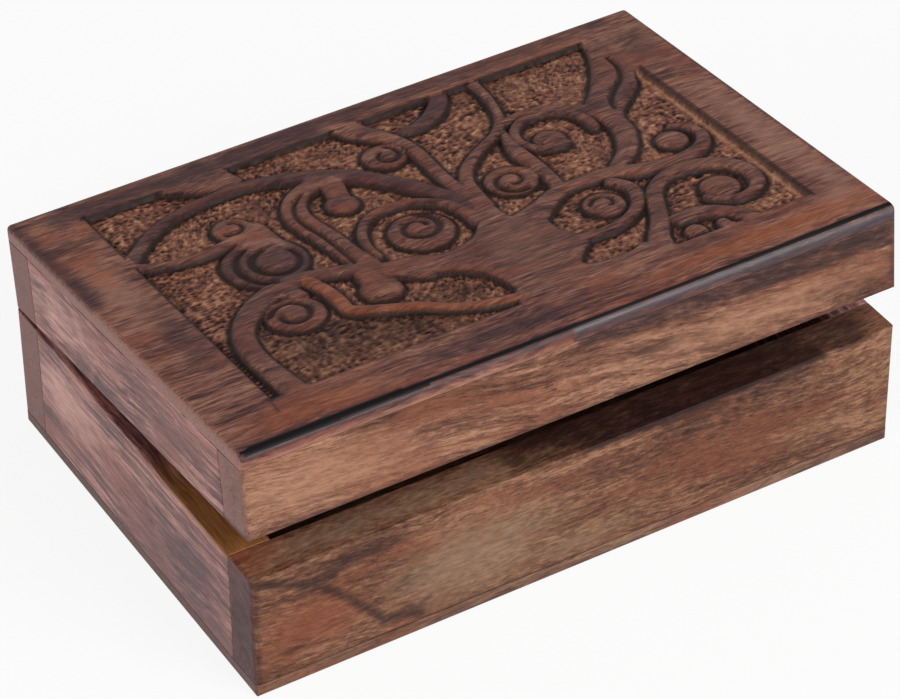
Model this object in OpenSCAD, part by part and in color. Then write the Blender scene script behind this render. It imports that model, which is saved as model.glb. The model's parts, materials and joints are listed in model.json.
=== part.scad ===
// Small wooden dice box with a hinged, carved lid.
// Butt-jointed boards make the tray and the lid; two brass butt hinges join them along the back.
// X runs along the front, Y from front to back, Z up. The origin is the centre of the underside.

/* [Overall] */
// Length of the box along its front
box_l = 152.4; // [130:0.2:200]
// Depth of the box from front to back
box_w = 101.6; // [90:0.2:140]
// Height of the tray, from the underside to its rim
tray_h = 30.5; // [24:0.5:60]
// Height of the lid, from its rim to its carved top
lid_h = 20; // [16:0.5:40]
// Gap between the two rims when the lid is shut
rim_gap = 0.3; // [0.2:0.05:0.6]
// Angle at which the lid stands ajar, in degrees
lid_open = 5.4; // [0:0.1:12]

/* [Boards] */
// Thickness of the front, back and end boards
board_t = 9.5; // [8:0.5:14]
// Thickness of the base board
base_t = 3.2; // [2.5:0.1:6]
// Thickness of the carved top board
panel_t = 3.4; // [2.8:0.1:7]
// Radius of the sanded outer edges
edge_r = 1; // [0.5:0.1:2.4]
// Drop of the bevel on the lid's front top edge, at its left end
bevel_drop_left = 2; // [0.5:0.1:3]
// Drop of the same bevel at its right end
bevel_drop_right = 4; // [0.5:0.1:6]
// Slope of the bevel above the level, in degrees
bevel_angle = 45; // [30:1:60]

/* [Carving] */
// Plain border left of the carved field
border_left = 14.5; // [10:0.5:20]
// Plain border right of the carved field
border_right = 11.9; // [9:0.5:20]
// Plain border in front of the carved field
border_front = 13.8; // [10:0.5:20]
// Plain border behind the carved field
border_back = 7.5; // [6:0.5:15]
// Depth of the carved ground below the top
carve_depth = 1.3; // [0.5:0.1:2]

/* [Hinges] */
// Distance from each end of the box to the middle of a hinge
hinge_inset = 32; // [22:1:50]
// Length of a hinge along its pin
hinge_l = 19; // [14:0.5:24]
// Width of a leaf on the edge of a back board
leaf_w = 6.5; // [5.5:0.1:7.5]
// Thickness of a leaf
leaf_t = 0.8; // [0.6:0.1:1.2]
// Outer radius of the knuckles
knuckle_r = 1.6; // [1.4:0.1:2.4]
// Radius of a hinge pin
pin_r = 0.75; // [0.5:0.05:0.9]
// Radial play of the pin in the lid's knuckle
pin_play = 0.05; // [0.02:0.01:0.1]
// End gap between neighbouring knuckles
knuckle_gap = 0.2; // [0.1:0.05:0.4]
// Gap between the barrel and the back of the box
barrel_gap = 0.4; // [0.3:0.05:0.8]

/* [Screws and brads] */
// Radius of a hinge screw's shank
screw_r = 0.8; // [0.6:0.05:1]
// Radius of its countersunk head
screw_head_r = 1.5; // [1.3:0.05:1.8]
// Length of a hinge screw
screw_l = 7; // [5:0.5:9]
// Distance between the two screws of a leaf
screw_pitch = 12; // [9:0.5:14]
// Radius of a brad that holds the base
brad_r = 0.6; // [0.4:0.05:0.9]
// Length of a brad
brad_l = 12; // [8:0.5:16]
// Brads along each long side of the base
brads_per_side = 4; // [2:1:6]
// Radial play between a fastener and its hole
hole_play = 0.03; // [0.01:0.01:0.08]

/* [Hidden] */
$fn = 48;

// Heights and lines that several pieces share
half_l = box_l / 2;
half_w = box_w / 2;
lid_rim_z = tray_h + rim_gap;
top_z = lid_rim_z + lid_h;
panel_z = top_z - panel_t;
hinge_y = half_w + barrel_gap + knuckle_r;
hinge_z = tray_h + rim_gap / 2;
hinge_x = half_l - hinge_inset;
knuckle_l = (hinge_l - 2 * knuckle_gap) / 3;
screw_y = half_w - leaf_w / 2;
// Amount by which a cutting shape runs past the piece it cuts
past = 1;

// Carved field, and the size of field for which the scrollwork below is drawn
field_l = box_l - border_left - border_right;
field_w = box_w - border_front - border_back;
field_x = -half_l + border_left;
field_y = -half_w + border_front;
drawn_l = 126;
drawn_w = 80.3;
drawn_corner = [-61.7, -37];

// Scrollwork, drawn on its own field. A plate is a closed outline of x and y.
plates = [
    // Trunk, with the forks that leave it
    [[-3.2, -41], [-3.2, -31], [-4, -26.5], [-5.8, -22.5], [-9, -19.3], [-14, -17], [-19, -14.6], [-22, -11.5],
        [-18, -8], [-13, -10], [-7, -11.6], [-1, -10.4], [2.8, -7], [4.6, -2], [5.6, 3], [9.6, 3], [10, -3],
        [11, -9.5], [15, -7.5], [17.6, -10], [16, -13.5], [16.2, -18], [18, -21.5], [18.6, -25.2], [16, -27.6],
        [13.2, -31.2], [16, -33], [23, -33.2], [27, -32], [30, -36], [30, -41]],
    // Stub on the back border
    [[-46, 45.5], [-43.6, 42.2], [-40, 40], [-36, 37.4], [-31, 36.6], [-27.4, 37.4], [-28, 41], [-30.5, 45.5]],
    // Leaf in the far right corner
    [[46, 17], [46.3, 20.6], [50, 24.8], [54, 30.3], [57.4, 36.4], [59.3, 42], [59.6, 46.5], [66, 46.5],
        [66, 27.5], [63.4, 26.6], [60.6, 21.6], [56.4, 17.6], [52.6, 14.6], [50.6, 11.5], [48, 11]]
];
// Stems. Each point is x, y and the stem's width there.
stems = [
    // Upper left arch and the leaf below its end
    [[5.5, 0, 4.4], [4.4, 6, 4.4], [1, 13, 4.6], [-3.5, 20, 4.8], [-8.5, 25.8, 5.2], [-14, 29.8, 5.2], [-20, 33, 4.4],
        [-26, 34.9, 3.8], [-32, 35.5, 3.4], [-40, 34.9, 3.2], [-47, 33, 3], [-53, 30, 3.2], [-58, 26, 3.4],
        [-62.8, 21.5, 4]],
    [[-62.8, 21.5, 3], [-58, 18.6, 2.6], [-53, 17.2, 2.6], [-48, 16.7, 2.8], [-43, 17.4, 3.2], [-38, 18.4, 4]],
    // Upright stem left of the middle, and the neck of the boss beside it
    [[-22.5, -6, 6], [-23.4, 0, 5.8], [-24, 7, 6], [-25, 13, 6.2], [-25.2, 18, 6], [-23.6, 22.5, 5.6], [-20, 26, 5],
        [-14, 28.2, 5]],
    [[-12.5, 28, 6], [-14.2, 20.5, 5]],
    // Long branch to the left and the arch that falls from it
    [[-14, -13, 9], [-20.5, -9.6, 5.6], [-25, -6.4, 4.6], [-30, -4, 4.2], [-36, -2.8, 4.6], [-43, -3.6, 5.6],
        [-50, -7.4, 5.4], [-54.8, -13, 5], [-56.8, -20, 5.2], [-56.8, -28, 5.4], [-56, -39, 6.5]],
    [[-35.5, -4, 4], [-34, -9, 3.6], [-33.6, -14, 3.6], [-33.4, -18.5, 3.6], [-28, -22, 3.6], [-22, -25, 3.2],
        [-17, -29, 3], [-12, -31.8, 3], [-6, -33.6, 3.2], [2, -36, 5]],
    [[-24, -8, 6], [-24.4, -12, 6]],
    [[-41, -4, 6], [-39.5, -8, 4.5]],
    [[-36.6, 12, 10], [-36, 19, 8]],
    // Ring round the large scroll
    [[4.6, -5, 4.6], [3.8, 0, 3.4], [1.8, 5, 2.8], [-2.5, 8.8, 2.6], [-8, 10.3, 2.4], [-13.5, 9, 2.4],
        [-17.3, 5.2, 2.4], [-19, 0, 2.2], [-19, -5, 2]],
    // Thin upright branch in the middle, and the crescent beside it
    [[7.6, 2, 4.4], [7.2, 10, 3.6], [7.3, 17, 3.4], [7.8, 25, 3.6], [7.2, 31, 3.8], [4.6, 36, 5], [1.4, 41, 6.5],
        [0, 46, 8]],
    [[8.5, 34.8, 1.6], [12, 34.6, 3], [16, 35.7, 4.2], [19.5, 38, 4.6], [22.2, 41.2, 4.6], [23.8, 46, 5]],
    // Branch to the upper right, its fork and the arch that closes on the right
    [[8.6, -1, 4], [9.4, 4, 3.4], [10.2, 9, 3.4], [12.7, 13.5, 3.2], [16.6, 17, 2.8], [21, 19.8, 2.6],
        [25.3, 22.3, 2.8], [28.6, 26.3, 2.6], [30.4, 31, 2.3], [31.6, 37, 2.6], [32, 46, 3.6]],
    [[29, 25, 2.4], [33, 25.8, 2.6], [38, 25, 3], [42.5, 22.2, 3.6], [47.4, 17, 5], [48.2, 9.5, 5.4],
        [46.6, 4.6, 5.2], [43.8, 0, 4.6], [39.5, -3.4, 3.8]],
    [[26.6, 21.4, 1.8], [25.4, 17, 3], [25, 12, 4.4], [25.4, 6, 3.8], [25.2, 0, 3.4], [24.5, -5, 4]],
    // Band to the right, which closes round a boss
    [[11, -12, 9], [17.5, -8.4, 5.6], [23.5, -5.2, 4.4], [30, -4.6, 3.8], [36, -5, 4.6], [41, -7.4, 5],
        [46.5, -8.8, 4.2], [52, -9.2, 4.4], [57.3, -7.6, 4], [60.2, -3.6, 3], [59.6, 0.4, 2.8], [56.5, 2.6, 2.2]],
    // Sweep round the lower right scroll
    [[34.5, -8.5, 3.4], [36.6, -12.4, 3.4], [35.6, -16.6, 3.2], [32.6, -20.4, 3], [28, -22.8, 3], [22, -23.6, 3.2],
        [14, -23, 5]],
    // Stem from the front border that curls into the last scroll
    [[27.5, -40, 8], [30.6, -32.4, 5], [34.3, -27, 4.4], [37, -21.6, 4], [39.8, -16.6, 3.8], [44, -13.4, 3.8],
        [49.5, -12.6, 4.4], [55, -14.2, 4.6], [59, -18.3, 4.6], [59.8, -23.4, 4.2], [57.8, -27.4, 3.4],
        [53.6, -29, 2.8], [49.4, -27.8, 2.4], [46.8, -25, 1.6]],
    // Lobes at the front right
    [[37.8, -28.4, 4], [42, -28.6, 4.6], [46.3, -31, 4.8], [49.2, -34.4, 4.4], [50.4, -39, 4.4]],
    [[44.6, -39, 4], [44.4, -35, 3.2]]
];
// Scrolls: centre x, centre y, outer and inner radius of the path, start angle, turn in degrees
// (counter-clockwise when positive), and width at the start and at the end
scrolls = [[34.5, 15.8, 9.6, 5.6, -20, 300, 3, 2.2]];
// Round bosses: centre x, centre y and radius
bosses = [
    [-43, -13.2, 6.4], [-38.9, 7, 9.2], [-38.3, 22.2, 4.4], [-24.5, -15.4, 4.6], [-15, 17.3, 3.8], [-7, -1.4, 7.2],
    [1.5, 28.6, 5], [33.4, 13.8, 3.7], [18.2, 4.6, 5.9], [54, -1.5, 3.7], [28.7, -14.7, 4.7], [51.8, -22.8, 4.4],
    [38.3, -34.3, 2.6]
];
// Grooves cut into the raised parts: straight runs like the stems, and spirals like the scrolls
grooves = [
    [[-40, 13.6, 0.8], [-43.6, 11, 1.2], [-45, 6.6, 1.3], [-43.8, 2.2, 1.2], [-40.6, -1, 0.8]],
    [[-24.2, -4, 0.6], [-24.3, 3, 0.8], [-24.7, 9, 0.8], [-25.5, 13.5, 0.8], [-25.5, 18, 0.8], [-23.9, 22, 0.8],
        [-20.5, 25.2, 0.6]],
    [[48.6, 14.6, 0.6], [52.5, 20, 0.8], [56, 25, 0.8], [60.5, 30.5, 0.6]],
    [[57, 21, 0.6], [60, 28, 0.8], [62.3, 35, 0.6]]
];
spirals = [
    [-43.6, -13, 4.6, 2.6, 150, -330, 1, 0.7],
    [-36.8, 6.3, 5, 4.9, 100, 290, 1.1, 0.8],
    [-38.2, 22.4, 2.7, 1.6, 215, 230, 0.7, 0.6],
    [-7, 0, 5, 2, 60, -420, 1.1, 0.7],
    [1.8, 28.4, 3.4, 1.4, 60, -300, 0.8, 0.6],
    [18.2, 4.4, 4.2, 1.6, -70, -400, 0.8, 0.6],
    [28.8, -14.6, 2.9, 1.6, 160, -220, 0.7, 0.6]
];
// Steps between two points of a stem, and degrees per step of a scroll
stem_steps = 4;
scroll_step = 20;

// A point of the smooth curve that runs through b and c, with a and d as its outer neighbours
function curve_point(a, b, c, d, t) =
    0.5 * (2 * b + t * (c - a) + t * t * (2 * a - 5 * b + 4 * c - d) + t * t * t * (3 * b - a - 3 * c + d));
function at(list, i) = list[max(0, min(len(list) - 1, i))];
function smooth(list) = concat(
    [for (i = [0 : len(list) - 2], j = [0 : stem_steps - 1])
        curve_point(at(list, i - 1), list[i], list[i + 1], at(list, i + 2), j / stem_steps)],
    [list[len(list) - 1]]
);
function smooth_loop(list) =
    let (n = len(list))
    [for (i = [0 : n - 1], j = [0 : stem_steps - 1])
        curve_point(list[(i + n - 1) % n], list[i], list[(i + 1) % n], list[(i + 2) % n], j / stem_steps)];
function scroll_path(s) =
    let (count = ceil(abs(s[5]) / scroll_step))
    [for (k = [0 : count])
        let (t = k / count, r = s[2] + (s[3] - s[2]) * t, a = s[4] + s[5] * t)
        [s[0] + r * cos(a), s[1] + r * sin(a), s[6] + (s[7] - s[6]) * t]];
// Point i of a path, moved sideways by side times half the width there
function edge_point(path, i, side) =
    let (
        step = at(path, i + 1) - at(path, i - 1),
        across = [-step[1], step[0]] / norm([step[0], step[1]])
    )
    [path[i][0], path[i][1]] + side * path[i][2] / 2 * across;
function outline(path) = concat(
    [for (i = [0 : len(path) - 1]) edge_point(path, i, 1)],
    [for (i = [len(path) - 1 : -1 : 0]) edge_point(path, i, -1)]
);
// Places a drawn point on the real field
function placed(p) = [
    field_x + (p[0] - drawn_corner[0]) * field_l / drawn_l,
    field_y + (p[1] - drawn_corner[1]) * field_w / drawn_w
];
function placed_all(points) = [for (p = points) placed(p)];

// Upright block with a rounded outline
module rounded_plan(l, w, h, r) {
    translate([-l / 2, -w / 2 + r, 0]) cube([l, w - 2 * r, h]);
    translate([-l / 2 + r, -w / 2, 0]) cube([l - 2 * r, w, h]);
    for (x = [-1, 1], y = [-1, 1])
        translate([x * (l / 2 - r), y * (w / 2 - r), 0]) cylinder(h = h, r = r);
}

// Bar along Y whose two lower edges are rounded, from z = 0 up to h
module rounded_underside(l, w, h, r) {
    translate([-l / 2, -w / 2, r]) cube([l, w, h - r]);
    translate([-l / 2 + r, -w / 2, 0]) cube([l - 2 * r, w, h]);
    for (x = [-1, 1])
        translate([x * (l / 2 - r), w / 2, r]) rotate([90, 0, 0]) cylinder(h = w, r = r);
}

// Outer form of a half box that stands on its rounded side, as sanded after it is glued up
module sanded_form(h) {
    intersection() {
        rounded_plan(box_l, box_w, h, edge_r);
        rounded_underside(box_l, box_w + 2 * past, h, edge_r);
        rotate([0, 0, 90]) rounded_underside(box_w, box_l + 2 * past, h, edge_r);
    }
}

module tray_form() {
    sanded_form(tray_h);
}

// The lid's form: the rounded side is on top, and the front top edge carries a tapering bevel
module lid_form() {
    taper = atan((bevel_drop_right - bevel_drop_left) / box_l);
    difference() {
        translate([0, 0, top_z]) mirror([0, 0, 1]) sanded_form(lid_h);
        translate([-half_l, -half_w, top_z - bevel_drop_left])
            rotate([0, taper, 0])
                rotate([bevel_angle, 0, 0])
                    translate([-past * 4, -box_w / 4, 0]) cube([box_l + past * 8, box_w / 2, lid_h]);
    }
}

// Everything on the lid is drawn shut and then raised to where it stands ajar
module raised() {
    translate([0, hinge_y, hinge_z])
        rotate([-lid_open, 0, 0])
            translate([0, -hinge_y, -hinge_z])
                children();
}

// A long board: side is -1 for the front and 1 for the back
module long_board(side, z, h) {
    translate([-half_l, side > 0 ? half_w - board_t : -half_w, z]) cube([box_l, board_t, h]);
}

// An end board between the long ones: side is -1 for the left and 1 for the right
module end_board(side, z, h) {
    translate([side > 0 ? half_l - board_t : -half_l, -half_w + board_t, z])
        cube([board_t, box_w - 2 * board_t, h]);
}

module wall_in_tray(side, long) {
    intersection() {
        if (long) long_board(side, base_t, tray_h - base_t);
        else end_board(side, base_t, tray_h - base_t);
        tray_form();
    }
}

module wall_in_lid(side, long) {
    intersection() {
        if (long) long_board(side, lid_rim_z, panel_z - lid_rim_z);
        else end_board(side, lid_rim_z, panel_z - lid_rim_z);
        lid_form();
    }
}

// Places of the brads, as x and y
function brad_places() =
    let (reach = half_l - board_t / 2, pitch = 2 * reach / (brads_per_side - 1))
    concat(
        [for (i = [0 : brads_per_side - 1], side = [-1, 1]) [-reach + i * pitch, side * (half_w - board_t / 2)]],
        [for (side = [-1, 1]) [side * (half_l - board_t / 2), 0]]
    );

module brad_holes() {
    for (p = brad_places())
        translate([p[0], p[1], -past]) cylinder(h = brad_l + past, r = brad_r + hole_play);
}

// Mortise for a leaf in the edge of a back board; up is 1 in the tray's rim and -1 in the lid's
module leaf_mortise(x, z, up) {
    translate([x - hinge_l / 2, half_w - leaf_w, up > 0 ? z - leaf_t : z - past])
        cube([hinge_l, leaf_w + past, leaf_t + past]);
}

module pilot_holes(x, z, up) {
    for (s = [-1, 1])
        translate([x + s * screw_pitch / 2, screw_y, z])
            mirror([0, 0, up > 0 ? 1 : 0]) cylinder(h = screw_l, r = screw_r + hole_play);
}

// Countersunk screw with its head flush at z = 0, pointing up
module screw() {
    slot_w = screw_head_r / 4;
    difference() {
        union() {
            cylinder(h = leaf_t, r1 = screw_head_r, r2 = screw_r);
            cylinder(h = screw_l, r = screw_r);
        }
        translate([-screw_head_r, -slot_w / 2, -past]) cube([2 * screw_head_r, slot_w, past + leaf_t / 2]);
    }
}

module screws(x, z, up) {
    for (s = [-1, 1])
        translate([x + s * screw_pitch / 2, screw_y, z]) mirror([0, 0, up > 0 ? 1 : 0]) screw();
}

module along_x(x, l, r) {
    translate([x, hinge_y, hinge_z]) rotate([0, 90, 0]) cylinder(h = l, r = r, center = true);
}

// Leaf let into the tray's rim, with the two outer knuckles, which grip the pin
module tray_leaf(x) {
    reach = hinge_y - (half_w - leaf_w);
    difference() {
        union() {
            translate([x - hinge_l / 2, half_w - leaf_w, tray_h - leaf_t]) cube([hinge_l, leaf_w, leaf_t]);
            for (s = [-1, 1])
                translate([x + s * (hinge_l - knuckle_l) / 2, 0, 0]) {
                    translate([-knuckle_l / 2, half_w - leaf_w, tray_h - leaf_t]) cube([knuckle_l, reach, leaf_t]);
                    along_x(0, knuckle_l, knuckle_r);
                }
        }
        along_x(x, hinge_l + past, pin_r);
        for (s = [-1, 1])
            translate([x + s * screw_pitch / 2, screw_y, tray_h])
                mirror([0, 0, 1]) cylinder(h = leaf_t, r1 = screw_head_r + hole_play, r2 = screw_r + hole_play);
    }
}

// Leaf let into the lid's rim, with the middle knuckle, which turns on the pin
module lid_leaf(x) {
    reach = hinge_y - (half_w - leaf_w);
    difference() {
        union() {
            translate([x - hinge_l / 2, half_w - leaf_w, lid_rim_z]) cube([hinge_l, leaf_w, leaf_t]);
            translate([x - knuckle_l / 2, half_w - leaf_w, lid_rim_z]) cube([knuckle_l, reach, leaf_t]);
            along_x(x, knuckle_l, knuckle_r);
        }
        along_x(x, hinge_l, pin_r + pin_play);
        for (s = [-1, 1])
            translate([x + s * screw_pitch / 2, screw_y, lid_rim_z])
                cylinder(h = leaf_t, r1 = screw_head_r + hole_play, r2 = screw_r + hole_play);
    }
}

module tray_front() {
    color("#8f6048") difference() {
        wall_in_tray(-1, true);
        brad_holes();
    }
}

module tray_back() {
    color("#7a5240") difference() {
        wall_in_tray(1, true);
        brad_holes();
        for (x = [-hinge_x, hinge_x]) {
            leaf_mortise(x, tray_h, 1);
            pilot_holes(x, tray_h, 1);
        }
    }
}

module tray_left_end() {
    color("#87645a") difference() {
        wall_in_tray(-1, false);
        brad_holes();
    }
}

module tray_right_end() {
    color("#87645a") difference() {
        wall_in_tray(1, false);
        brad_holes();
    }
}

module tray_base() {
    color("#856155") difference() {
        intersection() {
            translate([-half_l, -half_w, 0]) cube([box_l, box_w, base_t]);
            tray_form();
        }
        brad_holes();
    }
}

module base_brads() {
    color("#8c8c88") for (p = brad_places())
        translate([p[0], p[1], 0]) cylinder(h = brad_l, r = brad_r);
}

module left_tray_leaf() {
    color("#b08a45") tray_leaf(-hinge_x);
}

module right_tray_leaf() {
    color("#b08a45") tray_leaf(hinge_x);
}

module left_hinge_pin() {
    color("#a8843f") along_x(-hinge_x, hinge_l, pin_r);
}

module right_hinge_pin() {
    color("#a8843f") along_x(hinge_x, hinge_l, pin_r);
}

module left_tray_screws() {
    color("#b8954e") screws(-hinge_x, tray_h, 1);
}

module right_tray_screws() {
    color("#b8954e") screws(hinge_x, tray_h, 1);
}

module lid_front() {
    color("#9a6b4c") raised() wall_in_lid(-1, true);
}

module lid_back() {
    color("#7a5240") raised() difference() {
        wall_in_lid(1, true);
        for (x = [-hinge_x, hinge_x]) {
            leaf_mortise(x, lid_rim_z, -1);
            pilot_holes(x, lid_rim_z, -1);
        }
    }
}

module lid_left_end() {
    color("#8a685e") raised() wall_in_lid(-1, false);
}

module lid_right_end() {
    color("#8a685e") raised() wall_in_lid(1, false);
}

// Everything that stays up between the borders, as a flat outline
module raised_work() {
    for (p = plates) polygon(placed_all(smooth_loop(p)));
    for (s = stems) polygon(placed_all(outline(smooth(s))));
    for (s = scrolls) polygon(placed_all(outline(scroll_path(s))));
    for (b = bosses) translate(placed(b)) circle(r = b[2], $fn = 32);
}

// The ground that is cut away, with the grooves in what stays up
module carved_ground() {
    difference() {
        translate([field_x, field_y]) square([field_l, field_w]);
        raised_work();
    }
    for (g = grooves) polygon(placed_all(outline(smooth(g))));
    for (s = spirals) polygon(placed_all(outline(scroll_path(s))));
}

module lid_panel() {
    color("#7d4f42") raised() difference() {
        intersection() {
            translate([-half_l, -half_w, panel_z]) cube([box_l, box_w, panel_t]);
            lid_form();
        }
        translate([0, 0, top_z - carve_depth]) linear_extrude(height = carve_depth + past) carved_ground();
    }
}

module left_lid_leaf() {
    color("#b08a45") raised() lid_leaf(-hinge_x);
}

module right_lid_leaf() {
    color("#b08a45") raised() lid_leaf(hinge_x);
}

module left_lid_screws() {
    color("#b8954e") raised() screws(-hinge_x, lid_rim_z, -1);
}

module right_lid_screws() {
    color("#b8954e") raised() screws(hinge_x, lid_rim_z, -1);
}

tray_front();
tray_back();
tray_left_end();
tray_right_end();
tray_base();
base_brads();
left_tray_leaf();
right_tray_leaf();
left_hinge_pin();
right_hinge_pin();
left_tray_screws();
right_tray_screws();
lid_front();
lid_back();
lid_left_end();
lid_right_end();
lid_panel();
left_lid_leaf();
right_lid_leaf();
left_lid_screws();
right_lid_screws();
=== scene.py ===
"""Looks of a small wooden dice box with a hinged, carved lid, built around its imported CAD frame.

Lengths in the dataclasses are millimetres, in the CAD frame: X along the front, Y from front to back,
Z up. The lid's pieces are worked out shut and then raised to where the lid stands ajar.
"""

import json
import logging
import math
from dataclasses import dataclass, field, replace
from enum import Enum

import bmesh
import bpy
import numpy as np
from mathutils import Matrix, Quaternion, Vector


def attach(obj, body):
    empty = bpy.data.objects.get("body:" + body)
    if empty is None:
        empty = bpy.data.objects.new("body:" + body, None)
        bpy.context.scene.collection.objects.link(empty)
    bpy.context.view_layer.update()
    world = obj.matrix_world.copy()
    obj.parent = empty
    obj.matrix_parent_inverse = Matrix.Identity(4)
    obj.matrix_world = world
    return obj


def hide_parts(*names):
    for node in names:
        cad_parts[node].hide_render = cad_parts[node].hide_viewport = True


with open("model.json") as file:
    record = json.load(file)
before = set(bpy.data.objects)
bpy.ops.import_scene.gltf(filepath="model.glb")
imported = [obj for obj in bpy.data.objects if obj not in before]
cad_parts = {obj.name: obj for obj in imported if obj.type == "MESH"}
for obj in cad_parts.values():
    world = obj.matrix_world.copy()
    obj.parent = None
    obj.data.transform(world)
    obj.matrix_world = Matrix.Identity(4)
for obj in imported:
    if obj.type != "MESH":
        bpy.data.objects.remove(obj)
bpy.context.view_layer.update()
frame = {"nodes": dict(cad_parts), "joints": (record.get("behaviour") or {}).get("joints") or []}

LOG = logging.getLogger("dice_box")
Array = np.ndarray
Socket = bpy.types.NodeSocket
Nodes = bpy.types.NodeTree

# A millimetre in metres, what counts as endless and as nothing, and the side of a table of random numbers
MM = 0.001
FAR = 1e9
TINY = 1e-9
TABLE = 128

# Node settings that many calls share
SCALE_AND_ADD = {"operation": "MULTIPLY_ADD"}
SOFTLY = {"interpolation_type": "SMOOTHSTEP"}
COLOURS = {"data_type": "RGBA"}
TIMES = {"data_type": "RGBA", "blend_type": "MULTIPLY"}


# Small helpers for colour, nodes and noise


def linear(colour: str) -> tuple[float, float, float, float]:
    """Turns an sRGB hex colour into Blender's linear one.

    Args:
        colour: The colour as "#rrggbb".

    Returns:
        Linear red, green, blue and an alpha of one.
    """
    parts = np.array([int(colour[i:i + 2], 16) for i in (1, 3, 5)]) / 255
    made = np.where(parts <= 0.04045, parts / 12.92, ((parts + 0.055) / 1.055) ** 2.4)
    return (float(made[0]), float(made[1]), float(made[2]), 1.0)


def add(tree: Nodes, kind: str, inputs: dict | None = None, **settings: object) -> bpy.types.Node:
    """Adds one node with its settings and links.

    MapRange takes its value at 0, the range it comes from at 1 and 2 and the one it goes to at 3 and 4.
    Mix takes its share at 0 and its colours at 6 and 7, and gives the mixed colour at 2.

    Args:
        tree: The node tree that gets the node.
        kind: The node's type, without the word ShaderNode.
        inputs: For each input, by name or number, a value to set or an output to link.
        settings: The node's own properties; stops fills a colour ramp with (place, hex colour) pairs.

    Returns:
        The new node.
    """
    node = tree.nodes.new("ShaderNode" + kind)
    stops = settings.pop("stops", None)
    for name, value in settings.items():
        setattr(node, name, value)
    for key, value in (inputs or {}).items():
        if isinstance(value, Socket):
            tree.links.new(value, node.inputs[key])
        else:
            node.inputs[key].default_value = value
    if stops:
        ramp = node.color_ramp
        while len(ramp.elements) < len(stops):
            ramp.elements.new(0.5)
        for element, (place, colour) in zip(ramp.elements, stops):
            element.position = place
            element.color = linear(colour)
    return node


def empty_material(name: str) -> tuple[bpy.types.Material, Nodes]:
    """Makes a material without nodes and returns it with its node tree."""
    made = bpy.data.materials.new(name)
    made.use_nodes = True
    made.node_tree.nodes.clear()
    return made, made.node_tree


def smoothstep(t: Array) -> Array:
    """Runs from 0 to 1 as t does, level at both ends: 3 t squared minus 2 t cubed."""
    t = np.clip(t, 0, 1)
    return t * t * (3 - 2 * t)


def swell(distance: Array, place: float, width: float) -> Array:
    """Falls off from 1 around a place: e to minus the square of the distance from it over the width."""
    return np.exp(-((distance - place) / width) ** 2)


def value_noise(u: Array, v: Array, seed: int) -> Array:
    """Smooth noise from 0 to 1 with one hump or hollow per unit.

    Random numbers at whole-number corners are blended across each unit square by smoothstep.

    Args:
        u: First coordinate of each point.
        v: Second coordinate of each point.
        seed: Seed of the table of random numbers.

    Returns:
        The noise at each point.
    """
    table = np.random.default_rng(seed).random((TABLE, TABLE))
    i, j = np.floor(u).astype(int), np.floor(v).astype(int)
    s, t = smoothstep(u - i), smoothstep(v - j)
    low, high = (
        table[i % TABLE, row % TABLE] * (1 - s) + table[(i + 1) % TABLE, row % TABLE] * s
        for row in (j, j + 1)
    )
    return low * (1 - t) + high * t


def punch_marks(u: Array, v: Array, seed: int) -> tuple[Array, Array]:
    """Pits of a hand punch, one in each unit square, set a little out of line.

    Each square holds one pit centre, moved by a random amount. A point's pit is the nearest centre.

    Args:
        u: First coordinate, in punch widths.
        v: Second coordinate, in punch heights.
        seed: Seed of the random places.

    Returns:
        The distance to the nearest centre, in punch sizes, and that pit's random strength from 0 to 1.
    """
    play, margin = 0.7, 0.15
    random = np.random.default_rng(seed)
    offset_u = random.random((TABLE, TABLE)) * play + margin
    offset_v = random.random((TABLE, TABLE)) * play + margin
    power = random.random((TABLE, TABLE))
    i, j = np.floor(u).astype(int), np.floor(v).astype(int)
    nearest = np.full(u.shape, FAR)
    strength = np.zeros(u.shape)
    for di in (-1, 0, 1):
        for dj in (-1, 0, 1):
            a = (i + di) % TABLE
            b = (j + dj) % TABLE
            away = np.hypot(u - i - di - offset_u[a, b], v - j - dj - offset_v[a, b])
            closer = away < nearest
            nearest = np.where(closer, away, nearest)
            strength = np.where(closer, power[a, b], strength)
    return nearest, strength


# Marks on the wood: what the making and the years left, and in places painted light and shade


class Tint(Enum):
    """Attributes in which a mark is kept on the mesh, for the wood's material to read."""

    BURN = "burn"
    WARM = "warm"
    PALE = "pale"
    GLOSS = "gloss"


class Side(Enum):
    """A side of the box: the axes that measure a mark on it, and the axis and sign that point out of it."""

    LEFT = (1, 2, 0, -1)
    RIGHT = (1, 2, 0, 1)
    FRONT = (0, 2, 1, -1)
    BACK = (0, 2, 1, 1)
    TOP = (0, 1, 2, 1)
    UNDER = (0, 1, 2, -1)


@dataclass(frozen=True)
class Spot:
    """A soft oval mark: its strength times e to minus the square of the scaled distance."""

    u: float
    v: float
    reach_u: float
    reach_v: float
    strength: float

    def at(self, u: Array, v: Array) -> Array:
        """Strength of the mark at points measured along its side's two axes."""
        return self.strength * swell(np.hypot((u - self.u) / self.reach_u, (v - self.v) / self.reach_v), 0, 1)


@dataclass(frozen=True)
class Streak:
    """A soft mark along a broken line, with a spot's formula for the distance to the line, up to its most.

    A strength far above its most gives a level mark with a hard edge.
    """

    points: tuple[tuple[float, float], ...]
    reach: float
    strength: float
    most: float = 1.0

    def at(self, u: Array, v: Array) -> Array:
        """Strength of the mark at points measured along its side's two axes."""
        made = self.strength * swell(distance_to_line(u, v, self.points), 0, self.reach)
        return np.minimum(made, self.most)


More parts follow.
